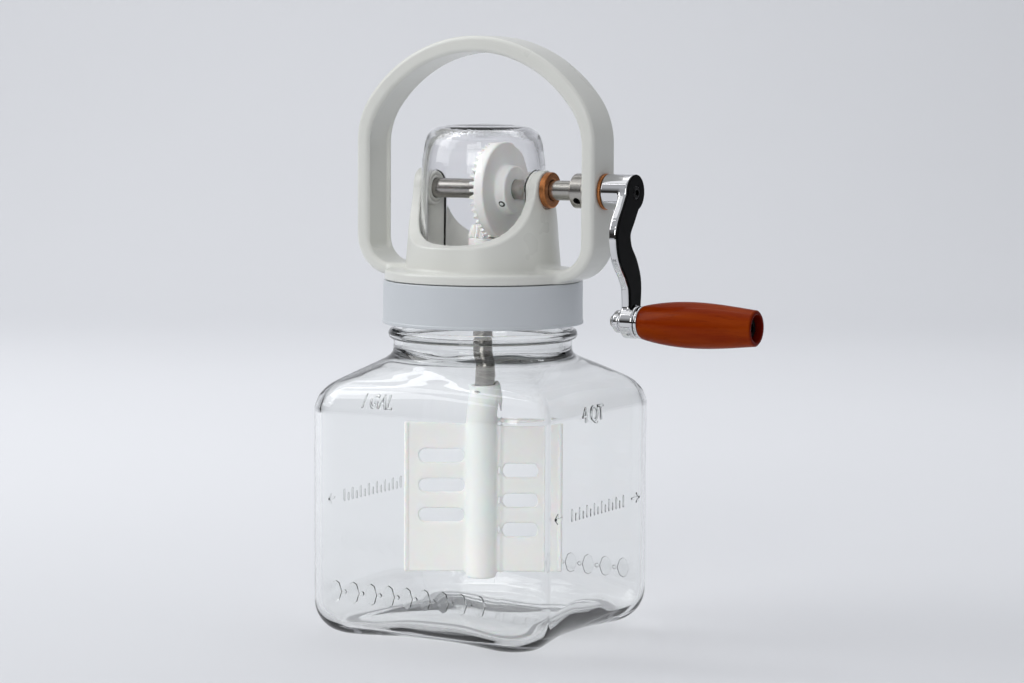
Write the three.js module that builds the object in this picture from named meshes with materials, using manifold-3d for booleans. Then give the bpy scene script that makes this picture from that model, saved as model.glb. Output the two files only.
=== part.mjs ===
// A hand-cranked butter churn: a square glass jar with a screw-on head. The head holds a pair of bevel
// gears under a clear dome, a crank with a wooden grip, a carrying handle and a slotted dasher paddle.
// Millimetres, +Z up. The origin is the centre of the jar's base, the crank points along +X, and the
// jar's front face looks along -Y.
import * as THREE from 'three';
import { mergeVertices } from 'three/addons/utils/BufferGeometryUtils.js';
import Module from 'manifold-3d';

const wasm = await Module();
wasm.setup();

// ---------- driving dimensions ----------
const GAP = 0.3;                 // clearance between touching pieces
const JAR_SIDE = 172;            // glass, across the flats
const JAR_CORNER = 24;           // plan radius of the jar's upright corners
const JAR_WALL = 4;
const JAR_FLOOR = 7;
const HEEL_FACE = 30;            // heel radius at the middle of each face
const HEEL_CORNER = 21;          // heel radius at the corners
const SHOULDER_Z = 146;          // the upright walls end here
const NECK_Z = 180;              // the round neck starts here
const NECK_RADIUS = 58;
const BEAD_RADIUS = 61.4;        // transfer bead under the collar
const BEAD_Z = 192;
const BORE_RADIUS = 52.6;        // mouth of the jar
const LIP_Z = 217.5;
const GASKET_RADIUS = 59.4;
const THREAD_RADIUS = 61.2;
const THREAD_PITCH = 6;
const COLLAR_RADIUS = 64.7;
const COLLAR_Z = 199;
const COLLAR_TOP = 226.6;
const COLLAR_BORE = 62.3;
const FLANGE_RADIUS = 63.6;
const FLANGE_TOP = 233.5;
const SPIGOT_RADIUS = 56;        // spigot of the head inside the collar's top plate
const RING_RADIUS = 60.5;        // ring under the top plate that keeps the collar on the head
const HOLLOW_RADIUS = 50;        // hollow under the housing floor
const HOLLOW_TOP = 230;
const FLOOR_TOP = 240;           // floor of the gear housing
const HOUSING_BASE = 50.6;       // outer radius of the housing at the flange
const HOUSING_TOP = 47.4;        // outer radius of the pillars
const HOUSING_BORE = 41.3;
const SILL_Z = 249.5;            // bottom edge of the two windows
const PILLAR_TOP = 305;          // above the rounded top of both pillars
const SHAFT_Z = 285.8;           // crank axis
const SHAFT_RADIUS = 6.35;
const BOSS_RADIUS = 11.2;
const BOSS_REACH = 36.4;         // inner end of the pillar bosses
const BUSH_RADIUS = 8.6;
const BUSH_FLANGE = 11.5;
const PILLAR_FACE = 46.7;        // spot face under the right bush flange
const HANDLE_OUT = 88;           // handle legs, outer faces
const HANDLE_IN = 78.5;          // handle legs, inner faces
const HANDLE_DEPTH = 30;
const ARCH_OUT = 98;             // arch radii about the crank axis
const ARCH_IN = 87.5;
const DOME_RADIUS = 40.4;
const DOME_TOP = 327.6;
const DOME_CEILING = 318.6;
const SLOT_HALF = 12;            // half width of the dome's slots
const GEAR_TEETH = 42;
const PINION_TEETH = 12;
const GEAR_PITCH = 31;           // pitch radius of the crown gear at its rim
const TOOTH_FACE = 8;
const WEB_FRONT = 4.6;           // drive gear, distances from the shared apex along the crank axis
const WEB_BACK = 17.4;
const HUB_END = 24;
const HUB_RADIUS = 15.8;
const GEAR_SCREW = 20.8;         // set screw of the hub
const CRANK_RADIUS = 81.5;       // crank axis to grip axis
const ARM_IN = 104;              // arm plate, inner and outer faces
const ARM_OUT = 109.4;
const ARM_HUB_RADIUS = 11.3;
const SPINDLE_RADIUS = 4;
const FACING_OUT = 110.8;
const GRIP_START = 116.7;
const GRIP_END = 194.8;
const PADDLE_BOTTOM = 35.7;
const PADDLE_TOP = 134;
const PADDLE_HALF = 50;
const PADDLE_ANGLE = 29.5;       // degrees about +Z at rest
const ROUND = 40;                // facets round a large circle
const FINE = 24;                 // facets round a small circle

// ---------- materials ----------
const glassLook = { color: 0xe4ebe8, roughness: 0.05, metalness: 0, transparent: true, opacity: 0.35 };
const clearLook = { color: 0xe9edf2, roughness: 0.08, metalness: 0, transparent: true, opacity: 0.35 };
const whiteLook = { color: 0xd6d8d3, roughness: 0.4, metalness: 0 };
const creamLook = { color: 0xeeeee2, roughness: 0.5, metalness: 0 };
const greyLook = { color: 0xb4bac6, roughness: 0.45, metalness: 0 };
const steelLook = { color: 0xb6b2ab, roughness: 0.3, metalness: 1 };
const chromeLook = { color: 0xe6e6e8, roughness: 0.08, metalness: 1 };
const bronzeLook = { color: 0xb0703f, roughness: 0.35, metalness: 1 };
const blackLook = { color: 0x111214, roughness: 0.35, metalness: 0 };
const woodLook = { color: 0xa8431a, roughness: 0.35, metalness: 0 };
const rubberLook = { color: 0xd9d9d6, roughness: 0.8, metalness: 0 };

// ---------- helpers ----------
function toSolid(geometry) {
  const bare = new THREE.BufferGeometry();
  bare.setAttribute('position', geometry.getAttribute('position').clone());
  if (geometry.index) {
    bare.setIndex(geometry.index.clone());
  }
  const merged = mergeVertices(bare, 1e-4);
  return new wasm.Manifold(new wasm.Mesh({
    numProp: 3,
    vertProperties: new Float32Array(merged.getAttribute('position').array),
    triVerts: new Uint32Array(merged.index.array),
  }));
}

function fromSolid(solid) {
  const mesh = solid.getMesh();
  const geometry = new THREE.BufferGeometry();
  geometry.setAttribute('position', new THREE.BufferAttribute(mesh.vertProperties, 3));
  geometry.setIndex(new THREE.BufferAttribute(mesh.triVerts, 1));
  geometry.computeVertexNormals();
  return geometry;
}

function join(...geometries) {
  return fromSolid(geometries.map(toSolid).reduce((a, b) => a.add(b)));
}

function cut(geometry, ...tools) {
  return fromSolid(tools.map(toSolid).reduce((a, b) => a.subtract(b), toSolid(geometry)));
}

function common(a, b) {
  return fromSolid(toSolid(a).intersect(toSolid(b)));
}

// A lathe turned about +Z from [radius, z] pairs, listed from the bottom of the axis or as a loop.
function turned(profile, segments = ROUND) {
  const points = profile.map(([r, z]) => new THREE.Vector2(r, z));
  const lathe = new THREE.LatheGeometry(points, segments);
  lathe.rotateX(Math.PI / 2);
  return lathe;
}

function turnedLoop(profile, segments = ROUND) {
  return turned([...profile, profile[0]], segments);
}

// The same turned about the crank axis: [radius, x] pairs.
function turnedX(profile, segments = FINE, z = SHAFT_Z) {
  const lathe = turned(profile, segments);
  lathe.rotateY(Math.PI / 2);
  lathe.translate(0, 0, z);
  return lathe;
}

function rod(radius, x0, x1, z = SHAFT_Z, segments = FINE) {
  return turnedX([[0, x0], [radius, x0], [radius, x1], [0, x1]], segments, z);
}

function post(radius, z0, z1, segments = FINE) {
  return turned([[0, z0], [radius, z0], [radius, z1], [0, z1]], segments);
}

function sleeveX(inner, outer, x0, x1, z = SHAFT_Z) {
  return turnedX([[inner, x0], [outer, x0], [outer, x1], [inner, x1], [inner, x0]], FINE, z);
}

function block(x0, x1, y0, y1, z0, z1) {
  const box = new THREE.BoxGeometry(x1 - x0, y1 - y0, z1 - z0);
  box.translate((x0 + x1) / 2, (y0 + y1) / 2, (z0 + z1) / 2);
  return box;
}

// An outline in the XZ plane carried along Y, centred on Y = 0.
function alongY(shape, depth, bevel = 0, curveSegments = 12) {
  const solid = new THREE.ExtrudeGeometry(shape, {
    depth: depth - 2 * bevel,
    bevelEnabled: bevel > 0,
    bevelThickness: bevel,
    bevelSize: bevel,
    bevelOffset: -bevel,
    bevelSegments: 1,
    curveSegments,
  });
  solid.translate(0, 0, -(depth - 2 * bevel) / 2);
  solid.rotateX(Math.PI / 2);
  return solid;
}

// An outline in the YZ plane carried along X from x0 to x1.
function alongX(shape, x0, x1, curveSegments = 12) {
  const solid = new THREE.ExtrudeGeometry(shape, { depth: x1 - x0, bevelEnabled: false, curveSegments });
  solid.rotateX(Math.PI / 2);
  solid.rotateZ(Math.PI / 2);
  solid.translate(x0, 0, 0);
  return solid;
}

// A closed skin over rings of points: rings run from one pole to the other, each a list of [x, y, z].
function skin(rings, firstPole, lastPole) {
  const count = rings[0].length;
  const positions = [firstPole, ...rings.flat(), lastPole].flat();
  const index = [];
  const at = (row, k) => 1 + row * count + (k % count);
  for (let k = 0; k < count; k += 1) {
    index.push(0, at(0, k + 1), at(0, k));
    index.push(at(rings.length - 1, k), at(rings.length - 1, k + 1), positions.length / 3 - 1);
  }
  for (let row = 0; row < rings.length - 1; row += 1) {
    for (let k = 0; k < count; k += 1) {
      index.push(at(row, k), at(row, k + 1), at(row + 1, k));
      index.push(at(row, k + 1), at(row + 1, k + 1), at(row + 1, k));
    }
  }
  const geometry = new THREE.BufferGeometry();
  geometry.setAttribute('position', new THREE.Float32BufferAttribute(positions, 3));
  geometry.setIndex(index);
  return geometry;
}

// ---------- glass jar ----------
// A point on a square with rounded corners. Each quarter of the way round is half a side, a corner
// arc and half a side, so corner points line up from ring to ring.
const CORNER_STEPS = 5;
const SIDE_STEPS = 4;

function jarDirections() {
  const list = [];
  for (let quarter = 0; quarter < 4; quarter += 1) {
    for (let k = 0; k < SIDE_STEPS; k += 1) {
      list.push({ quarter, side: -1 + (2 * k) / SIDE_STEPS, arc: 0 });
    }
    for (let k = 0; k < CORNER_STEPS; k += 1) {
      list.push({ quarter, side: 1, arc: (k * Math.PI) / 2 / CORNER_STEPS });
    }
  }
  return list;
}

function squarePoint({ quarter, side, arc }, half, corner) {
  const flat = half - corner;
  const x = flat + corner * Math.cos(arc);
  const y = side * flat + corner * Math.sin(arc);
  const turn = (quarter * Math.PI) / 2;
  return [x * Math.cos(turn) - y * Math.sin(turn), x * Math.sin(turn) + y * Math.cos(turn)];
}

// How far a direction is from the middle of its face: 0 there, 1 at the corner.
function cornerness([x, y]) {
  const angle = Math.atan2(Math.min(Math.abs(x), Math.abs(y)), Math.max(Math.abs(x), Math.abs(y)));
  return Math.sin(2 * angle) ** 4;
}

function squareRing(half, corner, z) {
  return jarDirections().map((d) => [...squarePoint(d, half, corner), z]);
}

function roundRing(radius, z) {
  return jarDirections().map((d) => {
    const [x, y] = squarePoint(d, JAR_SIDE / 2, JAR_CORNER);
    const scale = radius / Math.hypot(x, y);
    return [x * scale, y * scale, z];
  });
}

function blendRings(a, b, t, z) {
  return a.map((p, i) => [p[0] + (b[i][0] - p[0]) * t, p[1] + (b[i][1] - p[1]) * t, z]);
}

// One ring of the heel: the wall turns in towards the base on a quarter circle whose radius grows
// from the corners to the middle of each face.
function heelRing(half, corner, lift, shrink, step) {
  const angle = (step * Math.PI) / 2;
  return squareRing(half, corner, 0).map(([x, y]) => {
    const radius = HEEL_FACE + (HEEL_CORNER - HEEL_FACE) * cornerness([x, y]) - shrink;
    const inset = radius * (1 - Math.sin(angle));
    const reach = Math.hypot(x, y);
    const scale = (reach - inset * reach / Math.max(Math.abs(x), Math.abs(y))) / reach;
    const cornerScale = (reach - inset) / reach;
    const mix = cornerness([x, y]);
    const s = scale * (1 - mix) + cornerScale * mix;
    return [x * s, y * s, lift + radius * (1 - Math.cos(angle))];
  });
}

// The shoulder is a gentle slope with a rounded turn at each end.
function shoulderRings(half, corner, neck, z0, z1) {
  const square = squareRing(half, corner, 0);
  const round = roundRing(neck, 0);
  const steps = [[0.03, 0.13], [0.08, 0.27], [0.21, 0.44], [0.46, 0.62], [0.72, 0.79], [1, 1]];
  return steps.map(([inward, up]) => blendRings(square, round, inward, z0 + (z1 - z0) * up));
}

function glassJar() {
  const half = JAR_SIDE / 2;
  const innerHalf = half - JAR_WALL;
  const innerCorner = JAR_CORNER - JAR_WALL;
  const outer = [
    ...[0, 0.25, 0.5, 0.75].map((s) => heelRing(half, JAR_CORNER, 0, 0, s)),
    squareRing(half, JAR_CORNER, HEEL_FACE + 1),
    squareRing(half, JAR_CORNER, SHOULDER_Z),
    ...shoulderRings(half, JAR_CORNER, NECK_RADIUS, SHOULDER_Z, NECK_Z),
    roundRing(NECK_RADIUS, BEAD_Z - 4),
    roundRing(BEAD_RADIUS, BEAD_Z - 1.5),
    roundRing(BEAD_RADIUS, BEAD_Z + 1.5),
    roundRing(NECK_RADIUS, BEAD_Z + 4),
    roundRing(NECK_RADIUS, LIP_Z - 1.5),
    roundRing(NECK_RADIUS - 1.5, LIP_Z),
  ];
  const inner = [
    roundRing(BORE_RADIUS + 1, LIP_Z),
    roundRing(BORE_RADIUS, LIP_Z - 1),
    ...shoulderRings(innerHalf, innerCorner, BORE_RADIUS, SHOULDER_Z - 1, NECK_Z + 2).reverse(),
    squareRing(innerHalf, innerCorner, SHOULDER_Z - 1),
    squareRing(innerHalf, innerCorner, HEEL_FACE + JAR_FLOOR),
    ...[0.66, 0.33, 0].map((s) => heelRing(innerHalf, innerCorner, JAR_FLOOR, 6, s)),
  ];
  return skin([...outer, ...inner], [0, 0, 0], [0, 0, JAR_FLOOR]);
}

// Two thread ridges wind round the neck; here each is a plain ring, so that the head can lift off.
function jarWithThread() {
  const ridge = (z) => turnedLoop([
    [NECK_RADIUS - 2, z - 1.6],
    [THREAD_RADIUS, z - 0.6],
    [THREAD_RADIUS, z + 0.6],
    [NECK_RADIUS - 2, z + 1.6],
  ]);
  return join(glassJar(), ridge(LIP_Z - 5), ridge(LIP_Z - 5 - THREAD_PITCH));
}

// ---------- closure ----------
function screwCollar() {
  return turnedLoop([
    [COLLAR_BORE, COLLAR_Z],
    [COLLAR_RADIUS + 0.5, COLLAR_Z],
    [COLLAR_RADIUS + 0.5, COLLAR_Z + 1.6],
    [COLLAR_RADIUS, COLLAR_Z + 2],
    [COLLAR_RADIUS, COLLAR_TOP - 1],
    [COLLAR_RADIUS - 1, COLLAR_TOP],
    [SPIGOT_RADIUS + 0.4, COLLAR_TOP],
    [SPIGOT_RADIUS + 0.4, COLLAR_TOP - 2.6],
    [COLLAR_BORE, COLLAR_TOP - 2.6],
  ], 48);
}

function neckGasket() {
  return turnedLoop([
    [BORE_RADIUS, LIP_Z + GAP],
    [GASKET_RADIUS, LIP_Z + GAP],
    [GASKET_RADIUS, LIP_Z + 2.6],
    [BORE_RADIUS, LIP_Z + 2.6],
  ]);
}

function retainingRing() {
  const low = COLLAR_TOP - 5.2;
  return turnedLoop([
    [SPIGOT_RADIUS - 1.2, low],
    [RING_RADIUS, low],
    [RING_RADIUS, low + 1.8],
    [SPIGOT_RADIUS - 1.2, low + 1.8],
  ]);
}

// ---------- head frame: flange, gear housing and carrying handle in one moulding ----------
function flange() {
  const under = COLLAR_TOP + GAP;
  const foot = LIP_Z + 2.9;
  const groove = COLLAR_TOP - 5.5;
  return turned([
    [0, HOLLOW_TOP],
    [HOLLOW_RADIUS, HOLLOW_TOP],
    [HOLLOW_RADIUS, foot],
    [SPIGOT_RADIUS, foot],
    [SPIGOT_RADIUS, groove],
    [SPIGOT_RADIUS - 1.5, groove],
    [SPIGOT_RADIUS - 1.5, groove + 2.4],
    [SPIGOT_RADIUS, groove + 2.4],
    [SPIGOT_RADIUS, under],
    [FLANGE_RADIUS - 1, under],
    [FLANGE_RADIUS, under + 1],
    [FLANGE_RADIUS, FLANGE_TOP - 2.4],
    [FLANGE_RADIUS - 0.8, FLANGE_TOP - 0.8],
    [FLANGE_RADIUS - 2.4, FLANGE_TOP],
    [HOUSING_BASE + 1.6, FLANGE_TOP],
    [HOUSING_BASE, FLANGE_TOP + 1.6],
    [HOUSING_BASE - 0.3, FLOOR_TOP],
    [0, FLOOR_TOP],
  ]);
}

// The wall stands on the flange; above the sill only the two pillars are left of it.
function housingWall() {
  return turnedLoop([
    [HOUSING_BORE, FLOOR_TOP - 3],
    [HOUSING_BASE - 0.25, FLOOR_TOP - 3],
    [HOUSING_BASE - 1, SILL_Z],
    [HOUSING_TOP + 0.5, 270],
    [HOUSING_TOP, 280],
    [HOUSING_TOP, PILLAR_TOP],
    [HOUSING_BORE, PILLAR_TOP],
  ]);
}

// Side view of a pillar, in Y and Z: a round top about the crank axis that spreads down to the sill.
function pillarOutline() {
  const top = 12.5;
  const spread = (shape, s) => {
    shape.bezierCurveTo(s * 14.5, 277, s * 20, 263, s * 33, 255.5);
    shape.quadraticCurveTo(s * 41, SILL_Z, s * 52, SILL_Z);
  };
  const shape = new THREE.Shape();
  shape.moveTo(60, SILL_Z - 20);
  shape.lineTo(60, SILL_Z);
  shape.lineTo(52, SILL_Z);
  shape.quadraticCurveTo(41, SILL_Z, 33, 255.5);
  shape.bezierCurveTo(20, 263, 14.5, 277, top, SHAFT_Z);
  shape.absarc(0, SHAFT_Z, top, 0, Math.PI, false);
  spread(shape, -1);
  shape.lineTo(-60, SILL_Z);
  shape.lineTo(-60, SILL_Z - 20);
  shape.closePath();
  return shape;
}

// The handle seen from the front: upright legs that turn in to the flange at the bottom, and an arch
// about the crank axis on top, with a tighter arc between.
function handleEdge(reach, arch, corner, toe, toeZ) {
  const centreX = reach - corner;
  const rise = Math.sqrt((arch - corner) ** 2 - centreX ** 2);
  return { reach, arch, corner, toe, toeZ, centreX, rise, turn: Math.atan2(rise, centreX) };
}

function handleShape() {
  const out = handleEdge(HANDLE_OUT, ARCH_OUT, 50, 26, 228);
  const inn = handleEdge(HANDLE_IN, ARCH_IN, 41, 16, 236);
  const root = 48;
  const shape = new THREE.Shape();
  shape.moveTo(root, out.toeZ);
  shape.absarc(out.reach - out.toe, out.toeZ + out.toe, out.toe, -Math.PI / 2, 0, false);
  shape.absarc(out.centreX, SHAFT_Z + out.rise, out.corner, 0, out.turn, false);
  shape.absarc(0, SHAFT_Z, out.arch, out.turn, Math.PI - out.turn, false);
  shape.absarc(-out.centreX, SHAFT_Z + out.rise, out.corner, Math.PI - out.turn, Math.PI, false);
  shape.absarc(-out.reach + out.toe, out.toeZ + out.toe, out.toe, Math.PI, 1.5 * Math.PI, false);
  shape.lineTo(-root, out.toeZ);
  shape.lineTo(-root, inn.toeZ);
  shape.absarc(-inn.reach + inn.toe, inn.toeZ + inn.toe, inn.toe, 1.5 * Math.PI, Math.PI, true);
  shape.absarc(-inn.centreX, SHAFT_Z + inn.rise, inn.corner, Math.PI, Math.PI - inn.turn, true);
  shape.absarc(0, SHAFT_Z, inn.arch, Math.PI - inn.turn, inn.turn, true);
  shape.absarc(inn.centreX, SHAFT_Z + inn.rise, inn.corner, inn.turn, 0, true);
  shape.absarc(inn.reach - inn.toe, inn.toeZ + inn.toe, inn.toe, 0, -Math.PI / 2, true);
  shape.lineTo(root, inn.toeZ);
  shape.closePath();
  return shape;
}

function headFrame() {
  const pillars = common(housingWall(), alongX(pillarOutline(), -60, 60, 7));
  const bosses = [
    rod(BOSS_RADIUS, -HOUSING_TOP + 2, -BOSS_REACH),
    rod(BOSS_RADIUS, BOSS_REACH, HOUSING_TOP - 2),
  ];
  const bushHole = BUSH_RADIUS + GAP;
  const solid = join(flange(), pillars, alongY(handleShape(), HANDLE_DEPTH, 2.5, 9), ...bosses);
  const legRecess = (side) => block(
    Math.min(side * (HANDLE_IN - 1), side * (HANDLE_IN + 1.2)),
    Math.max(side * (HANDLE_IN - 1), side * (HANDLE_IN + 1.2)),
    -10, 10, 253, 312,
  );
  return cut(
    solid,
    rod(bushHole, -HOUSING_TOP + 2.4, 0),
    rod(bushHole, 0, HANDLE_OUT + 5),
    rod(BUSH_FLANGE + 0.5, PILLAR_FACE, HANDLE_IN - 6),
    post(bushHole, 200, 260),
    legRecess(-1),
  );
}

// ---------- clear dome ----------
function clearDome() {
  const base = FLOOR_TOP + GAP;
  const shell = turned([
    [0, DOME_CEILING],
    [31, DOME_CEILING],
    [34.4, DOME_CEILING - 2],
    [35.6, DOME_CEILING - 5],
    [37.4, 296],
    [37.9, 270],
    [37.9, base],
    [DOME_RADIUS, base],
    [DOME_RADIUS, 285],
    [DOME_RADIUS - 0.6, 303],
    [DOME_RADIUS - 2.4, 315],
    [DOME_RADIUS - 4.6, 321.5],
    [DOME_RADIUS - 10, 325.3],
    [18, DOME_TOP - 0.7],
    [0, DOME_TOP],
  ]);
  const slot = new THREE.Shape();
  slot.moveTo(-SLOT_HALF, base - 5);
  slot.lineTo(SLOT_HALF, base - 5);
  slot.absarc(0, SHAFT_Z, SLOT_HALF, 0, Math.PI, false);
  slot.closePath();
  return cut(shell, alongX(slot, -60, -20, 6), alongX(slot, 20, 60, 6));
}

// ---------- bevel gears ----------
// Both gears share one apex, where the crank axis crosses the dasher axis. A tooth is a wedge whose
// two ends are the same outline scaled towards that apex.
const MODULE = (2 * GEAR_PITCH) / GEAR_TEETH;
const PINION_PITCH = (MODULE * PINION_TEETH) / 2;
const CONE = Math.hypot(GEAR_PITCH, PINION_PITCH);
const INNER_SCALE = (CONE - TOOTH_FACE) / CONE;

function wedge(corners) {
  const ends = [1, INNER_SCALE].map((scale) => corners.map((c) => c.clone().multiplyScalar(scale)));
  const positions = [...ends[0], ...ends[1]].flatMap((v) => [v.x, v.y, v.z]);
  const index = [0, 1, 2, 0, 2, 3, 4, 6, 5, 4, 7, 6];
  for (let k = 0; k < 4; k += 1) {
    const next = (k + 1) % 4;
    index.push(k, k + 4, next + 4, k, next + 4, next);
  }
  const geometry = new THREE.BufferGeometry();
  geometry.setAttribute('position', new THREE.Float32BufferAttribute(positions, 3));
  geometry.setIndex(index);
  return geometry;
}

// Corners of a tooth's outer end, in a frame whose axis is +Z: radial, tangential and along the axis.
function toothCorners(pitchRadius, pitchHeight, rootHalf, tipHalf, addendum, dedendum) {
  const coneAngle = Math.atan2(pitchRadius, pitchHeight);
  const outR = Math.cos(coneAngle);
  const outH = -Math.sin(coneAngle);
  const at = (depth, half) => new THREE.Vector3(pitchRadius + outR * depth, half, pitchHeight + outH * depth);
  return [at(-dedendum, -rootHalf), at(addendum, -tipHalf), at(addendum, tipHalf), at(-dedendum, rootHalf)];
}

// A ring of teeth about +Z, apex at the origin, teeth on the side of +Z.
function toothRing(count, corners, phase) {
  const teeth = [];
  for (let k = 0; k < count; k += 1) {
    const tooth = wedge(corners);
    tooth.rotateZ(((k + phase) * 2 * Math.PI) / count);
    teeth.push(tooth);
  }
  return teeth;
}

const PITCH_ARC = Math.PI * MODULE;
const ADDENDUM = 0.85 * MODULE;

function driveGear() {
  const corners = toothCorners(GEAR_PITCH, PINION_PITCH, 0.25 * PITCH_ARC, 0.13 * PITCH_ARC, ADDENDUM,
    1.35 * MODULE);
  const rim = PINION_PITCH + 1.1 * MODULE;
  const inner = GEAR_PITCH * INNER_SCALE - 1;
  const body = turned([
    [0, WEB_FRONT],
    [inner - 3, WEB_FRONT],
    [inner, WEB_FRONT + 3.6],
    [GEAR_PITCH + 0.3, rim],
    [GEAR_PITCH + 0.6, rim + 0.8],
    [GEAR_PITCH + 0.6, WEB_BACK - 1.6],
    [GEAR_PITCH - 1, WEB_BACK],
    [HUB_RADIUS + 4.2, WEB_BACK],
    [HUB_RADIUS + 0.4, WEB_BACK + 0.8],
    [HUB_RADIUS, HUB_END],
    [0, HUB_END],
  ], 42);
  const gear = join(body, ...toothRing(GEAR_TEETH, corners, 0.5));
  const bored = cut(gear, post(SHAFT_RADIUS + GAP, -5, 40), setScrewHole(GEAR_SCREW, 2.6));
  bored.rotateY(Math.PI / 2);
  bored.translate(0, 0, SHAFT_Z);
  return bored;
}

// A radial hole in a hub whose axis is +Z, pointing along -Y once the part lies along the crank axis.
function setScrewHole(along, radius) {
  const hole = new THREE.CylinderGeometry(radius, radius, 30, 12);
  hole.translate(0, -15, 0);
  hole.rotateZ(SET_SCREW_TURN);
  hole.translate(0, 0, along);
  return hole;
}
const SET_SCREW_TURN = 0.6;      // radians from -Y towards +X before the hub is laid over

function setScrew(along, outer, radius) {
  const screw = new THREE.CylinderGeometry(radius, radius, outer - SHAFT_RADIUS - 1.2, 12);
  screw.translate(0, -(outer + SHAFT_RADIUS + 0.2) / 2, 0);
  screw.rotateZ(SET_SCREW_TURN);
  screw.translate(0, 0, along);
  screw.rotateY(Math.PI / 2);
  screw.translate(0, 0, SHAFT_Z);
  return screw;
}

function bevelPinion() {
  const corners = toothCorners(PINION_PITCH, GEAR_PITCH, 0.22 * PITCH_ARC, 0.1 * PITCH_ARC, ADDENDUM,
    1.2 * MODULE);
  const root = PINION_PITCH - 1.1 * MODULE;
  const body = turned([
    [0, GEAR_PITCH * INNER_SCALE + 0.3],
    [root * INNER_SCALE, GEAR_PITCH * INNER_SCALE + 0.3],
    [root, GEAR_PITCH + 0.3],
    [9.6, GEAR_PITCH + 0.8],
    [9.6, 42],
    [0, 42],
  ], FINE);
  const gear = join(body, ...toothRing(PINION_TEETH, corners, 0));
  const bored = cut(gear, post(4.1, 0, 60));
  bored.rotateX(Math.PI);
  bored.translate(0, 0, SHAFT_Z);
  return cut(bored, crossHole(PIN_Z));
}
const PIN_Z = 247.6;             // cross pin of the pinion
const PADDLE_PIN_Z = 146;        // cross pin of the paddle
const PIN_RADIUS = 1.5;

// A cross pin lies along Y, through a hub and its shaft.
function crossRod(z, radius, half) {
  const cylinder = new THREE.CylinderGeometry(radius, radius, 2 * half, 12);
  cylinder.translate(0, 0, z);
  return cylinder;
}

function crossHole(z) {
  return crossRod(z, PIN_RADIUS + GAP, 20);
}

function crossPin(z) {
  return crossRod(z, PIN_RADIUS, 9.2);
}

// ---------- crank ----------
function crankShaft() {
  return turnedX([
    [0, -44.4],
    [SHAFT_RADIUS - 0.8, -44.4],
    [SHAFT_RADIUS, -43.6],
    [SHAFT_RADIUS, 100],
    [0, 100],
  ]);
}

function flangedBush(x0, x1, flangeStart, flangeEnd) {
  return turnedX([
    [SHAFT_RADIUS + GAP, x0],
    [BUSH_RADIUS, x0],
    [BUSH_RADIUS, flangeStart],
    [BUSH_FLANGE, flangeStart],
    [BUSH_FLANGE, flangeEnd - 0.8],
    [BUSH_FLANGE - 0.8, flangeEnd],
    [SHAFT_RADIUS + GAP, flangeEnd],
    [SHAFT_RADIUS + GAP, x0],
  ]);
}

const COLLAR_IN = 68.2;          // shaft collar, end towards the gears
const COLLAR_OUT = 78;

function shaftCollar() {
  const ring = turned([
    [SHAFT_RADIUS + GAP, COLLAR_IN],
    [10.2, COLLAR_IN],
    [11.1, COLLAR_IN + 0.9],
    [11.1, COLLAR_OUT - 0.4],
    [SHAFT_RADIUS + GAP, COLLAR_OUT - 0.4],
    [SHAFT_RADIUS + GAP, COLLAR_IN],
  ], FINE);
  const drilled = cut(ring, setScrewHole((COLLAR_IN + COLLAR_OUT) / 2, 2.3));
  drilled.rotateY(Math.PI / 2);
  drilled.translate(0, 0, SHAFT_Z);
  return drilled;
}

// The arm seen along the crank axis: a spline bows towards -Y and comes back over the grip.
const GRIP_Z = SHAFT_Z - CRANK_RADIUS;
const ARM_PATH = new THREE.CatmullRomCurve3([
  new THREE.Vector3(0, 0, SHAFT_Z),
  new THREE.Vector3(0, -8, SHAFT_Z - 12),
  new THREE.Vector3(0, -15.5, SHAFT_Z - 24),
  new THREE.Vector3(0, -13.5, SHAFT_Z - 37),
  new THREE.Vector3(0, -4.5, SHAFT_Z - 48.5),
  new THREE.Vector3(0, 0.5, SHAFT_Z - 60),
  new THREE.Vector3(0, 0, GRIP_Z),
], false, 'centripetal');

function armOutline(halfTop, halfMiddle, halfBottom, start, end) {
  const steps = 16;
  const left = [];
  const right = [];
  for (let k = 0; k <= steps; k += 1) {
    const t = start + ((end - start) * k) / steps;
    const p = ARM_PATH.getPointAt(t);
    const d = ARM_PATH.getTangentAt(t);
    const bulge = Math.sin(Math.PI * Math.min(t, 1)) ** 2;
    const half = (halfTop + (halfBottom - halfTop) * t) * (1 - bulge) + halfMiddle * bulge;
    left.push(new THREE.Vector2(p.y + d.z * half, p.z - d.y * half));
    right.push(new THREE.Vector2(p.y - d.z * half, p.z + d.y * half));
  }
  return new THREE.Shape([...left, ...right.reverse()]);
}

function crankArm() {
  const hubStart = 90.8;
  const hub = turnedX([
    [0, hubStart],
    [ARM_HUB_RADIUS - 0.6, hubStart],
    [ARM_HUB_RADIUS, hubStart + 0.6],
    [ARM_HUB_RADIUS, ARM_OUT],
    [0, ARM_OUT],
  ]);
  const plate = alongX(armOutline(9.5, 9.2, 6.6, 0.02, 0.98), ARM_IN, ARM_OUT);
  const boss = turnedX([
    [0, ARM_IN],
    [9.4, ARM_IN],
    [10.4, ARM_IN + 1.2],
    [10.4, 112],
    [9.8, 113.2],
    [0, 113.2],
  ], FINE, GRIP_Z);
  const solid = join(hub, plate, boss);
  return cut(
    solid,
    rod(SHAFT_RADIUS + GAP, 85, 100 + GAP),
    rod(2.8, 95, 120),
    rod(SPINDLE_RADIUS + GAP, 95, 120, GRIP_Z),
  );
}

function armFacing() {
  const disc = rod(ARM_HUB_RADIUS, ARM_OUT + GAP, FACING_OUT);
  const strip = alongX(armOutline(9.5, 9.2, 6.6, 0.02, 0.84), ARM_OUT + GAP, FACING_OUT);
  return cut(join(disc, strip), rod(4.6, 100, 120));
}

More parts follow.
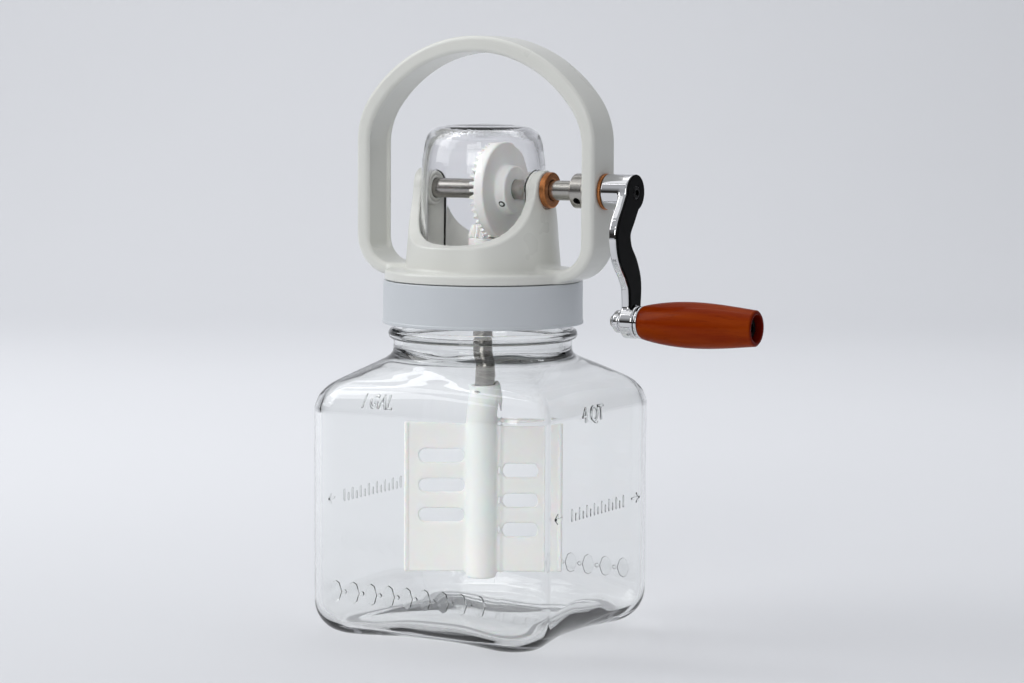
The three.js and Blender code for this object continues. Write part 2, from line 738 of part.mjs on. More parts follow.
function crankScrew() {
  return turnedX([
    [0, 100.6],
    [2.4, 100.6],
    [2.4, ARM_OUT + GAP],
    [4.3, ARM_OUT + GAP],
    [4.3, FACING_OUT - 0.2],
    [3.6, FACING_OUT + 0.4],
    [1.9, FACING_OUT + 0.4],
    [1.9, FACING_OUT - 1.4],
    [0, FACING_OUT - 1.4],
  ], 16);
}

// ---------- grip ----------
function gripSpindle() {
  return turnedX([[0, 94.6], [SPINDLE_RADIUS, 94.6], [SPINDLE_RADIUS, 186.6], [0, 186.6]], 16, GRIP_Z);
}

function spindleNut() {
  const hexagon = turnedX([[0, 96.6], [6.4, 96.6], [7.4, 97.8], [7.4, 103.4], [0, 103.4]], 6, GRIP_Z);
  return cut(hexagon, rod(SPINDLE_RADIUS + GAP, 90, 110, GRIP_Z));
}

function gripFerrule() {
  return turnedX([
    [SPINDLE_RADIUS + GAP, 113.5],
    [9.2, 113.5],
    [10.3, 114.2],
    [10.3, 115.8],
    [9.6, 116.4],
    [SPINDLE_RADIUS + GAP, 116.4],
    [SPINDLE_RADIUS + GAP, 113.5],
  ], FINE, GRIP_Z);
}

function gripRadius(t) {
  return 11.1 + 3.4 * Math.sin(Math.PI * Math.pow(t, 0.85)) ** 0.9;
}

function woodenGrip() {
  const steps = 9;
  const bore = 4.4;
  const recess = 8.6;
  const profile = [[bore, GRIP_START], [10.2, GRIP_START]];
  for (let k = 0; k <= steps; k += 1) {
    const t = k / steps;
    const x = GRIP_START + 1 + (GRIP_END - GRIP_START - 2) * t;
    profile.push([gripRadius(t), x]);
  }
  profile.push([10.1, GRIP_END]);
  profile.push([recess, GRIP_END]);
  profile.push([recess, GRIP_END - 7.6]);
  profile.push([bore, GRIP_END - 7.6]);
  profile.push(profile[0]);
  return turnedX(profile, FINE, GRIP_Z);
}

function gripEndScrew() {
  return turnedX([
    [0, 187.6],
    [6.6, 187.6],
    [6.6, 190.2],
    [5.4, 191.2],
    [2.2, 191.2],
    [2.2, 189],
    [0, 189],
  ], 16, GRIP_Z);
}

// ---------- dasher ----------
function dasherShaft() {
  const solid = turned([
    [0, 60],
    [SHAFT_RADIUS - 0.8, 60],
    [SHAFT_RADIUS, 61],
    [SHAFT_RADIUS, 241.6],
    [3.8, 241.6],
    [3.8, 259],
    [0, 259],
  ], FINE);
  return cut(solid, crossHole(PIN_Z), crossHole(PADDLE_PIN_Z));
}
function dasherBush() {
  return turnedLoop([
    [SHAFT_RADIUS + GAP, 224.4],
    [11.5, 224.4],
    [11.5, 229.6],
    [BUSH_RADIUS, 229.6],
    [BUSH_RADIUS, 241],
    [SHAFT_RADIUS + GAP, 241],
  ], FINE);
}

function shaftSeal() {
  return turnedLoop([
    [SHAFT_RADIUS + GAP, 220.6],
    [10.6, 220.6],
    [10.6, 224],
    [SHAFT_RADIUS + GAP, 224],
  ], FINE);
}

// One blade of the paddle, reaching along +X, with a column of rounded slots through it.
function blade(side, slotHeights) {
  const thick = 1.7;
  const plate = block(side > 0 ? 4 : -PADDLE_HALF, side > 0 ? PADDLE_HALF : -4, -thick, thick,
    PADDLE_BOTTOM, PADDLE_TOP);
  const slots = slotHeights.map((z) => {
    const shape = new THREE.Shape();
    shape.absarc(side * 36, z, 4.5, side > 0 ? -Math.PI / 2 : Math.PI / 2,
      side > 0 ? Math.PI / 2 : 1.5 * Math.PI, false);
    shape.absarc(side * 15, z, 4.5, side > 0 ? Math.PI / 2 : -Math.PI / 2,
      side > 0 ? 1.5 * Math.PI : Math.PI / 2, false);
    shape.closePath();
    return alongY(shape, 12, 0, 5);
  });
  const rim = side > 0
    ? block(PADDLE_HALF - 2.6, PADDLE_HALF, -2.6, 2.6, PADDLE_BOTTOM, PADDLE_TOP)
    : block(-PADDLE_HALF, -PADDLE_HALF + 2.6, -2.6, 2.6, PADDLE_BOTTOM, PADDLE_TOP);
  return join(cut(plate, ...slots), rim);
}

function dasherPaddle() {
  const slotPitch = 19.5;
  const topSlot = 112;
  const tubeBottom = 32;
  const leftHeights = [0, 1, 2].map((k) => topSlot - slotPitch * k);
  const rightHeights = leftHeights.map((z) => z - slotPitch / 2);
  const tube = turned([
    [0, tubeBottom],
    [8.6, tubeBottom],
    [9.7, tubeBottom + 1.2],
    [9.7, 152],
    [8.2, 155],
    [0, 155],
  ], FINE);
  const blades = join(blade(-1, leftHeights), blade(1, rightHeights));
  blades.rotateZ(THREE.MathUtils.degToRad(PADDLE_ANGLE));
  return cut(join(tube, blades), post(SHAFT_RADIUS + GAP, 59, 170), crossHole(PADDLE_PIN_Z));
}

// ---------- assembly ----------
const churn = new THREE.Group();

function add(name, geometry, look) {
  const mesh = new THREE.Mesh(geometry, new THREE.MeshStandardMaterial(look));
  mesh.name = name;
  churn.add(mesh);
}

add('glass_jar', jarWithThread(), glassLook);
add('neck_gasket', neckGasket(), rubberLook);
add('screw_collar', screwCollar(), greyLook);
add('collar_retaining_ring', retainingRing(), whiteLook);
add('head_frame', headFrame(), whiteLook);
add('clear_dome', clearDome(), clearLook);
add('left_shaft_bush', sleeveX(SHAFT_RADIUS + GAP, BUSH_RADIUS, -44.6, -BOSS_REACH), bronzeLook);
add('right_shaft_bush', flangedBush(BOSS_REACH, 60, PILLAR_FACE + GAP, 51.3), bronzeLook);
add('handle_bush', flangedBush(HANDLE_IN, 90, HANDLE_OUT + GAP, 90.5), bronzeLook);
add('crank_shaft', crankShaft(), steelLook);
add('drive_gear', driveGear(), whiteLook);
add('gear_set_screw', setScrew(GEAR_SCREW, HUB_RADIUS - 0.2, 2.3), steelLook);
add('shaft_collar', shaftCollar(), steelLook);
add('collar_set_screw', setScrew((COLLAR_IN + COLLAR_OUT) / 2, 10.9, 2), blackLook);
add('crank_arm', crankArm(), chromeLook);
add('arm_facing', armFacing(), blackLook);
add('crank_screw', crankScrew(), steelLook);
add('grip_spindle', gripSpindle(), steelLook);
add('spindle_nut', spindleNut(), chromeLook);
add('grip_ferrule', gripFerrule(), chromeLook);
add('wooden_grip', woodenGrip(), woodLook);
add('grip_end_screw', gripEndScrew(), blackLook);
add('bevel_pinion', bevelPinion(), whiteLook);
add('dasher_bush', dasherBush(), bronzeLook);
add('shaft_seal', shaftSeal(), rubberLook);
add('pinion_pin', crossPin(PIN_Z), steelLook);
add('dasher_shaft', dasherShaft(), steelLook);
add('dasher_paddle', dasherPaddle(), creamLook);
add('paddle_pin', crossPin(PADDLE_PIN_Z), steelLook);

export default churn;
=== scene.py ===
# %% [markdown]
# # A hand-cranked butter churn
# A square glass jar carries a screw-on head with two bevel gears under a clear dome, a crank with a
# wooden grip, and a slotted dasher inside the jar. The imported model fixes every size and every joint.
# This script gives each part its finished surface: glass, satin mouldings, turned steel, polished
# chrome, bronze and lacquered wood.

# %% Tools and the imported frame
import math

import bpy
import numpy as np
from mathutils import Matrix, Vector


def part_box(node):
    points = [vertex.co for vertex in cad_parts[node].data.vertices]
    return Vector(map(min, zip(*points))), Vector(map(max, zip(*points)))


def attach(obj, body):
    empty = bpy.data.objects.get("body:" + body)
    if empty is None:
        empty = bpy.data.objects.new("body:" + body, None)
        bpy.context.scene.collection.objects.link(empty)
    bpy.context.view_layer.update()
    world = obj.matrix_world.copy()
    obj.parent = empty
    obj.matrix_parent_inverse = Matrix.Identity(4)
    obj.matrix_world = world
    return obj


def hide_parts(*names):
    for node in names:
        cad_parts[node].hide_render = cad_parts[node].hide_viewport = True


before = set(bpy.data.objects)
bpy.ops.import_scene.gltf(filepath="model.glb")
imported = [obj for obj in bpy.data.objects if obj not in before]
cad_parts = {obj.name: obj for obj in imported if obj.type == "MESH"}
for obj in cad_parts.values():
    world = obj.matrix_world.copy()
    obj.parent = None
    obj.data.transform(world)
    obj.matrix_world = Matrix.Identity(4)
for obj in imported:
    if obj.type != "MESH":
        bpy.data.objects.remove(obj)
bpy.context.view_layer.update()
MM = 0.001

# %% [markdown]
# ## Where things are
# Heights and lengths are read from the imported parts, in millimetres, so that the finished surfaces
# land on them exactly. Only shapes that a box can't tell, such as a wall or a fillet, are named here.

# %% Places read from the frame


def span(node, axis):
    """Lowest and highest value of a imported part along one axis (0, 1 or 2), in millimetres."""
    low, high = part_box(node)
    return low[axis] / MM, high[axis] / MM


JAR_HALF = span("glass_jar", 0)[1]
LIP_Z = span("glass_jar", 2)[1]
COLLAR_Z, COLLAR_TOP = span("screw_collar", 2)
COLLAR_RADIUS = span("screw_collar", 0)[1]
HANDLE_OUT = span("head_frame", 0)[1]
HANDLE_TOP = span("head_frame", 2)[1]
SHAFT_LEFT, SHAFT_RIGHT = span("crank_shaft", 0)
SHAFT_Z = sum(span("crank_shaft", 2)) / 2
SHAFT_RADIUS = span("crank_shaft", 1)[1]
DOME_BASE, DOME_TOP = span("clear_dome", 2)
DOME_RADIUS = span("clear_dome", 1)[1]
GRIP_START, GRIP_END = span("wooden_grip", 0)
GRIP_Z = sum(span("wooden_grip", 2)) / 2
GRIP_RADIUS = span("wooden_grip", 1)[1]
ARM_OUT = span("crank_arm", 0)
FACING_IN, FACING_OUT = span("arm_facing", 0)
print(f"crank axis at {SHAFT_Z:.1f} mm, grip axis at {GRIP_Z:.1f} mm, jar half side {JAR_HALF:.1f} mm")

# %% [markdown]
# ## Camera
# The viewer stands a little to the right of the jar's front face and slightly above the crank, far
# enough away that the sides of the jar look almost parallel. A long lens from nearly two metres does that.

# %% Camera
AZIMUTH = math.radians(29.5)
PITCH = math.radians(5.44)
ROLL = math.radians(0.3)
DISTANCE = 1.822
EYE_HEIGHT = 0.360
SIDE_STEP = 0.0189
LENS_MM = 99.1

forward = Vector((-math.sin(AZIMUTH), math.cos(AZIMUTH), 0))
sideways = Vector((math.cos(AZIMUTH), math.sin(AZIMUTH), 0))
camera = bpy.data.objects.new("camera", bpy.data.cameras.new("camera"))
camera.data.lens = LENS_MM
camera.data.sensor_width = 36
camera.data.clip_start = 0.05
camera.location = -forward * DISTANCE + sideways * SIDE_STEP + Vector((0, 0, EYE_HEIGHT))
aim = (forward * math.cos(PITCH) - Vector((0, 0, math.sin(PITCH)))).to_track_quat("-Z", "Y")
camera.rotation_mode = "QUATERNION"
camera.rotation_quaternion = aim @ Matrix.Rotation(ROLL, 4, "Z").to_quaternion()
bpy.context.scene.collection.objects.link(camera)
bpy.context.scene.camera = camera
print(f"camera at {[round(v, 3) for v in camera.location]} m, lens {LENS_MM} mm")

# %% [markdown]
# ## From arrays to meshes
# Every surface is worked out as whole numpy arrays of points. One function turns such arrays into a
# Blender mesh, makes the piece ride on its body and hides the imported part it stands for.

# %% Mesh helper


def piece(name, points, faces, body, nodes=(), normals=None, sharp=35):
    """A closed mesh from points in millimetres and lists of point numbers, riding on a body."""
    mesh = bpy.data.meshes.new(name)
    mesh.from_pydata(np.asarray(points, float) * MM, [], faces)
    mesh.shade_smooth()
    if normals is None:
        mesh.set_sharp_from_angle(angle=math.radians(sharp))
    else:
        mesh.normals_split_custom_set_from_vertices(normals.tolist())
    thing = bpy.data.objects.new(name, mesh)
    bpy.context.scene.collection.objects.link(thing)
    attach(thing, body)
    if nodes:
        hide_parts(*nodes)
    print(f"{name}: {len(mesh.vertices)} points, {len(mesh.polygons)} faces")
    return thing


# %% [markdown]
# ## Turned parts
# A shaft, bush, ring or grip is a profile turned about an axis. Real edges are never knife sharp, so
# each corner of a profile is first rounded with a short curve. An extra point on the flat beside each
# curve keeps the shading of the flat from bleeding into the corner.

# %% Profiles and lathes


def rounded(corners, radius, steps=5, closed=True):
    """Corner points with each corner swapped for a quadratic curve that starts `radius` before it."""
    corners = np.asarray(corners, float)
    count = len(corners)
    out = []
    for k in range(count):
        here = corners[k]
        if not closed and k in (0, count - 1):
            out.append(here)
            continue
        before = corners[k - 1] - here
        after = corners[(k + 1) % count] - here
        reach = min(radius, np.linalg.norm(before) * 0.42, np.linalg.norm(after) * 0.42)
        before = before / np.linalg.norm(before) * reach
        after = after / np.linalg.norm(after) * reach
        t = np.linspace(0, 1, steps + 1)[:, None]
        curve = here + before * (1 - t) ** 2 + after * t**2
        out += [here + before * 1.18, *curve, here + after * 1.18]
    return np.array(out)


def smooth_curve(points, count):
    """A Catmull-Rom curve through the points, spaced evenly along its length: tangents are half the
    step between neighbours."""
    points = np.asarray(points, float)
    padded = np.vstack([2 * points[0] - points[1], points, 2 * points[-1] - points[-2]])
    t = np.linspace(0, 1, 24, endpoint=False)[:, None]
    parts = []
    for k in range(len(points) - 1):
        a, b, c, d = padded[k : k + 4]
        parts.append(0.5 * (2 * b + (c - a) * t + (2 * a - 5 * b + 4 * c - d) * t**2
                            + (3 * b - 3 * c + d - a) * t**3))
    dense = np.vstack([*parts, points[-1:]])
    length = np.concatenate([[0], np.cumsum(np.linalg.norm(np.diff(dense, axis=0), axis=1))])
    even = np.linspace(0, length[-1], count)
    return np.stack([np.interp(even, length, dense[:, k]) for k in range(dense.shape[1])], axis=1)


def grid_faces(rows, columns, wrap_rows=False):
    """Quads over a grid of points whose columns run round and close on themselves."""
    row = np.arange(rows if wrap_rows else rows - 1)[:, None]
    column = np.arange(columns)[None, :]
    next_row = (row + 1) % rows
    next_column = (column + 1) % columns
    quads = [row * columns + column, row * columns + next_column,
             next_row * columns + next_column, next_row * columns + column]
    return np.stack([q.ravel() for q in np.broadcast_arrays(*quads)], axis=1).tolist()


def lathe(profile, columns=96, closed=True, axis="z", centre=0.0):
    """Turns [radius, height] pairs about an axis. A closed profile makes a ring; an open one starts and
    ends on the axis, where each end becomes one point. About x, the axis runs at height `centre`."""
    profile = np.asarray(profile, float)
    body = profile if closed else profile[1:-1]
    angle = np.arange(columns) * 2 * math.pi / columns
    radius = body[:, :1]
    flat_a = radius * np.cos(angle)
    flat_b = radius * np.sin(angle)
    height = np.broadcast_to(body[:, 1:], flat_a.shape)
    points = np.stack([flat_a, flat_b, height], axis=-1).reshape(-1, 3)
    faces = grid_faces(len(body), columns, wrap_rows=closed)
    if not closed:
        start, end = len(points), len(points) + 1
        points = np.vstack([points, [0, 0, profile[0, 1]], [0, 0, profile[-1, 1]]])
        top = (len(body) - 1) * columns
        for k in range(columns):
            nxt = (k + 1) % columns
            faces += [[start, nxt, k], [end, top + k, top + nxt]]
    if axis == "x":
        points = points[:, [2, 0, 1]] + [0, 0, centre]
    return points, faces


def merge(*meshes):
    """Several closed shells as one list of points and faces."""
    points, faces, offset = [], [], 0
    for some_points, some_faces in meshes:
        points.append(some_points)
        faces += [[number + offset for number in face] for face in some_faces]
        offset += len(some_points)
    return np.vstack(points), faces


# %% [markdown]
# ## Moulded parts
# The head frame, the dome, the crank arm and the paddle are mouldings and castings whose walls flow into
# each other through fillets. They are described by a distance: a formula that is negative inside the
# material and positive outside. Two formulas join smoothly by blending where they are nearly equal. The
# surface is then found as a net of quads: one point in each small cell that the surface crosses, moved
# onto the surface along the slope of the distance.

# %% Distances


def blend_min(a, b, width):
    """The lower of two distances, with a fillet about `width` wide where they meet."""
    share = np.clip(0.5 + 0.5 * (b - a) / width, 0, 1)
    return b + (a - b) * share - width * share * (1 - share)


def meet(a, b, radius):
    """Inside both a and b, with the edge between them rounded to a radius."""
    over_a = a + radius
    over_b = b + radius
    corner = np.hypot(np.maximum(over_a, 0), np.maximum(over_b, 0))
    return corner + np.minimum(np.maximum(over_a, over_b), 0) - radius


def carve(solid, tool, radius=0.4):
    """The solid with the tool taken out of it."""
    return meet(solid, -tool, radius)


def outline_distance(x, y, corners):
    """Signed distance to a closed outline of straight steps: nearest edge, negative inside."""
    x, y = np.broadcast_arrays(x, y)
    nearest = np.full(x.shape, 1e9)
    inside = np.zeros(x.shape, bool)
    for (ax, ay), (bx, by) in zip(corners, np.roll(corners, -1, axis=0)):
        ex, ey = bx - ax, by - ay
        along = np.clip(((x - ax) * ex + (y - ay) * ey) / (ex * ex + ey * ey + 1e-12), 0, 1)
        nearest = np.minimum(nearest, (x - ax - along * ex) ** 2 + (y - ay - along * ey) ** 2)
        crosses = (ay > y) != (by > y)
        inside ^= crosses & (x < ax + (y - ay) / (by - ay + 1e-12) * ex)
    return np.sqrt(nearest) * np.where(inside, -1, 1)


def arc(centre, radius, start, end, steps):
    """Points on an arc, angles in degrees."""
    angle = np.radians(np.linspace(start, end, steps + 1))
    return np.stack([centre[0] + radius * np.cos(angle), centre[1] + radius * np.sin(angle)], axis=1)


# %% Surface net


def surface_net(distance, low, high, step):
    """Quads over the zero surface of a distance, in a box from low to high, with cells of one step."""
    x, y, z = [np.arange(a - 1.5 * step, b + 1.6 * step, step) for a, b in zip(low, high)]
    shape = (len(x), len(y), len(z))
    field = distance(x[:, None, None], y[None, :, None], z[None, None, :])
    field = np.ascontiguousarray(np.broadcast_to(field, shape))
    inside = field < 0
    count = sum(
        inside[i : shape[0] - 1 + i, j : shape[1] - 1 + j, k : shape[2] - 1 + k].astype(np.int8)
        for i in (0, 1) for j in (0, 1) for k in (0, 1)
    )
    crossed = (count > 0) & (count < 8)
    cells = np.argwhere(crossed)
    number = np.full(crossed.shape, -1)
    number[crossed] = np.arange(len(cells))
    total = np.zeros((len(cells), 3))
    hits = np.zeros(len(cells))
    unit = np.eye(3, dtype=int)
    for axis in range(3):
        for corner in (0 * unit[0], unit[axis - 2], unit[axis - 1], unit[axis - 2] + unit[axis - 1]):
            near = field[tuple((cells + corner).T)]
            far = field[tuple((cells + corner + unit[axis]).T)]
            cross = (near < 0) != (far < 0)
            share = np.where(cross, near / np.where(cross, near - far, 1), 0)
            total += cross[:, None] * (corner + share[:, None] * unit[axis])
            hits += cross
    points = np.array([x[0], y[0], z[0]]) + (cells + total / hits[:, None]) * step
    quads = []
    for axis in range(3):
        a, b = (axis + 1) % 3, (axis + 2) % 3
        here = np.take(inside, range(shape[axis] - 1), axis=axis)
        there = np.take(inside, range(1, shape[axis]), axis=axis)
        edges = np.argwhere(here != there)
        edges = edges[(edges[:, a] > 0) & (edges[:, b] > 0)
                      & (edges[:, a] < shape[a] - 1) & (edges[:, b] < shape[b] - 1)]
        around = [number[tuple((edges - da * unit[a] - db * unit[b]).T)]
                  for da, db in ((1, 1), (0, 1), (0, 0), (1, 0))]
        square = np.stack(around, axis=1)
        outward = inside[tuple(edges.T)]
        quads.append(np.where(outward[:, None], square, square[:, ::-1]))
    return points, np.vstack(quads)


def settle(points, distance, step, nudge, rounds=3):
    """Moves points onto the zero surface along its slope, and gives the slope as normals. The slope is
    measured over `nudge` each way: a longer one smooths small kinks in the formula."""
    for _ in range(rounds):
        slope = np.stack([
            distance(*(points + nudge * unit).T) - distance(*(points - nudge * unit).T)
            for unit in np.eye(3)
        ], axis=1) / (2 * nudge)
        length = np.maximum(np.linalg.norm(slope, axis=1), 0.2)
        move = np.clip(distance(*points.T) / length, -step, step)
        points = points - (move / length)[:, None] * slope
    return points, slope / length[:, None]


def moulding(name, distance, low, high, step, body, nodes, turn=0.0, nudge=0.02):
    """A moulded piece from its distance. `turn` turns it about the upright axis, in radians."""
    points, quads = surface_net(distance, low, high, step)
    points, normals = settle(points, distance, step, nudge)
    spin = np.array(Matrix.Rotation(turn, 3, "Z"))
    return piece(name, points @ spin.T, quads.tolist(), body, nodes, normals @ spin.T)


# %% [markdown]
# ## Shader groups
# Two effects are shared by all finishes, so each is a node group with named sockets. One gives a slow
# drift between two close colours, as in moulded plastic and glass. The other gives a fine relief. Both
# read Object coordinates, which are metres on the churn, and a finish may stretch them along an axis.

# %% Group tools


def new_group(name, inputs, outputs):
    """A shader node group with named sockets. Each is (name, kind, default)."""
    group = bpy.data.node_groups.new(name, "ShaderNodeTree")
    for label, kind, default in inputs:
        socket = group.interface.new_socket(label, in_out="INPUT", socket_type=kind)
        socket.default_value = default
    for label, kind in outputs:
        group.interface.new_socket(label, in_out="OUTPUT", socket_type=kind)
    return group, group.nodes.new("NodeGroupInput"), group.nodes.new("NodeGroupOutput")


def noise_node(tree, scale, detail):
    """A noise texture with its scale set, or left to be linked when scale is None."""
    node = tree.nodes.new("ShaderNodeTexNoise")
    if scale is not None:
        node.inputs["Scale"].default_value = scale
    node.inputs["Detail"].default_value = detail
    return node


def stretched_coordinates(tree, scale):
    """Object coordinates, stretched by a scale along each axis."""
    coordinates = tree.nodes.new("ShaderNodeTexCoord")
    mapping = tree.nodes.new("ShaderNodeMapping")
    mapping.inputs["Scale"].default_value = scale
    tree.links.new(coordinates.outputs["Object"], mapping.inputs["Vector"])
    return mapping.outputs["Vector"]


COLOUR, FLOAT, VECTOR = "NodeSocketColor", "NodeSocketFloat", "NodeSocketVector"

# %% Drifting colour


def make_drift():
    """Mixes two colours by a soft noise: the mask is the noise stretched to fill 0 to 1."""
    group, given, result = new_group(
        "drifting_colour",
        [("Vector", VECTOR, (0, 0, 0)), ("Scale", FLOAT, 20.0),
         ("Colour A", COLOUR, (1, 1, 1, 1)), ("Colour B", COLOUR, (1, 1, 1, 1))],
        [("Colour", COLOUR), ("Mask", FLOAT)],
    )
    noise = noise_node(group, None, 4.0)
    stretch = group.nodes.new("ShaderNodeMapRange")
    stretch.inputs["From Min"].default_value = 0.3
    stretch.inputs["From Max"].default_value = 0.7
    mix = group.nodes.new("ShaderNodeMix")
    mix.data_type = "RGBA"
    link = group.links.new
    link(given.outputs["Vector"], noise.inputs["Vector"])
    link(given.outputs["Scale"], noise.inputs["Scale"])
    link(noise.outputs["Fac"], stretch.inputs["Value"])
    link(stretch.outputs["Result"], mix.inputs["Factor"])
    link(given.outputs["Colour A"], mix.inputs["A"])
    link(given.outputs["Colour B"], mix.inputs["B"])
    link(mix.outputs["Result"], result.inputs["Colour"])
    link(stretch.outputs["Result"], result.inputs["Mask"])
    return group


drift_group = make_drift()

# %% Fine relief


def make_relief():
    """A bump from two sizes of noise: a fine grain and a slow ripple ten times larger."""
    group, given, result = new_group(
        "fine_relief",
        [("Vector", VECTOR, (0, 0, 0)), ("Scale", FLOAT, 600.0), ("Depth", FLOAT, 0.02)],
        [("Normal", VECTOR)],
    )
    fine = noise_node(group, None, 2.0)
    slow = noise_node(group, None, 1.0)
    smaller = group.nodes.new("ShaderNodeMath")
    smaller.operation = "MULTIPLY"
    smaller.inputs[1].default_value = 0.1
    total = group.nodes.new("ShaderNodeMath")
    total.operation = "MULTIPLY_ADD"
    total.inputs[1].default_value = 0.25
    bump = group.nodes.new("ShaderNodeBump")
    bump.inputs["Distance"].default_value = 0.001
    link = group.links.new
    link(given.outputs["Vector"], fine.inputs["Vector"])
    link(given.outputs["Vector"], slow.inputs["Vector"])
    link(given.outputs["Scale"], fine.inputs["Scale"])
    link(given.outputs["Scale"], smaller.inputs[0])
    link(smaller.outputs[0], slow.inputs["Scale"])
    link(fine.outputs["Fac"], total.inputs[0])
    link(slow.outputs["Fac"], total.inputs[2])
    link(total.outputs[0], bump.inputs["Height"])
    link(given.outputs["Depth"], bump.inputs["Strength"])
    link(bump.outputs["Normal"], result.inputs["Normal"])
    return group


relief_group = make_relief()

# %% [markdown]
# ## Finishes
# Each finish starts from one Principled BSDF. Numbers that are the same all over are set on its own
# sockets; only what changes over the surface comes through nodes.

# %% Finish helper


def finish_material(name, colour_a, colour_b, roughness, scale=(1, 1, 1), drift=20.0, grain=600.0,
                    depth=0.02, swing=0.06, **sockets):
    """A finish whose colour drifts between two tones, whose roughness swings with the same drift, and
    whose surface has a fine relief. Other sockets of the shader are set by name."""
    material = bpy.data.materials.new(name)
    material.use_nodes = True
    tree = material.node_tree
    shader = tree.nodes["Principled BSDF"]
    for label, value in sockets.items():
        shader.inputs[label.replace("_", " ")].default_value = value
    vector = stretched_coordinates(tree, scale)
    colour = tree.nodes.new("ShaderNodeGroup")
    colour.node_tree = drift_group
    colour.inputs["Scale"].default_value = drift
    colour.inputs["Colour A"].default_value = (*colour_a, 1)
    colour.inputs["Colour B"].default_value = (*colour_b, 1)
    polish = tree.nodes.new("ShaderNodeMapRange")
    polish.inputs["To Min"].default_value = max(roughness - swing, 0)
    polish.inputs["To Max"].default_value = roughness + swing
    relief = tree.nodes.new("ShaderNodeGroup")
    relief.node_tree = relief_group
    relief.inputs["Scale"].default_value = grain
    relief.inputs["Depth"].default_value = depth
    link = tree.links.new
    link(vector, colour.inputs["Vector"])
    link(vector, relief.inputs["Vector"])
    link(colour.outputs["Colour"], shader.inputs["Base Color"])
    link(colour.outputs["Mask"], polish.inputs["Value"])
    link(polish.outputs["Result"], shader.inputs["Roughness"])
    link(relief.outputs["Normal"], shader.inputs["Normal"])
    return material


def paint(thing, material):
    """Gives an object its finish."""
    thing.data.materials.append(material)
    return thing


# %% [markdown]
# The head's white moulding is a warm light grey with a satin skin; the collar is a cooler blue-grey and
# duller. Gears and paddle are unpolished nylon and polyethylene, which let some light in, so they get a
# little subsurface scattering.

# %% Plastics
white_moulding = finish_material("white_moulding", (0.72, 0.725, 0.685), (0.755, 0.76, 0.72), 0.30,
                                 drift=14, grain=900, depth=0.012, Specular_IOR_Level=0.5)
grey_moulding = finish_material("blue_grey_moulding", (0.61, 0.64, 0.67), (0.635, 0.665, 0.695), 0.40,
                                drift=18, grain=1100, depth=0.03)
gear_nylon = finish_material("gear_nylon", (0.86, 0.86, 0.835), (0.91, 0.91, 0.89), 0.34, drift=60,
                             grain=1400, depth=0.02, Subsurface_Weight=0.25, Subsurface_Scale=0.004)
paddle_plastic = finish_material("paddle_plastic", (0.965, 0.97, 0.94), (0.98, 0.985, 0.96), 0.45,
                                 drift=25, grain=900, depth=0.02, Subsurface_Weight=0.3,
                                 Subsurface_Scale=0.006)
soft_rubber = finish_material("soft_rubber", (0.74, 0.74, 0.72), (0.80, 0.80, 0.78), 0.7, drift=80)
satin_black = finish_material("satin_black", (0.001, 0.001, 0.0012), (0.0025, 0.0025, 0.003), 0.45,
                              drift=90, grain=1500, depth=0.03, Specular_IOR_Level=0.06)

# %% [markdown]
# Turned stainless steel carries fine rings round its axis. Stretching the noise hard along the axis and
# hardly at all round it gives those rings without any seam. Chrome is nearly perfect, with only a slow
# ripple in its plate. Sintered bronze is matt and speckled.

# %% Metals
STEEL_A, STEEL_B = (0.40, 0.385, 0.36), (0.435, 0.42, 0.395)
steel_across = finish_material("turned_steel_across", STEEL_A, STEEL_B, 0.24, scale=(40, 1, 1), drift=40,
                               grain=40, depth=0.001, swing=0.02, Metallic=1.0)
steel_upright = finish_material("turned_steel_upright", STEEL_A, STEEL_B, 0.24, scale=(1, 1, 40),
                                drift=40, grain=40, depth=0.001, swing=0.02, Metallic=1.0)
chrome_plate = finish_material("chrome_plate", (0.70, 0.70, 0.71), (0.76, 0.76, 0.77), 0.04, drift=40,
                               grain=90, depth=0.0004, swing=0.01, Metallic=1.0)
black_oxide = finish_material("black_oxide", (0.018, 0.018, 0.019), (0.03, 0.03, 0.032), 0.28, drift=200,
                              grain=900, depth=0.01, Metallic=1.0)
sintered_bronze = finish_material("sintered_bronze", (0.36, 0.13, 0.045), (0.50, 0.21, 0.08), 0.34,
                                  drift=700, grain=1800, depth=0.12, Metallic=1.0)

# %% [markdown]
# The jar is soda glass with a trace of grey-green, the dome a clear plastic of lower index. Both have
# full transmission, the right index, and a slow relief like the ripple of a moulded wall. Real clear
# walls hardly shade what is behind them, so shadow rays pass through as they would through thin film.

# %% Clear materials


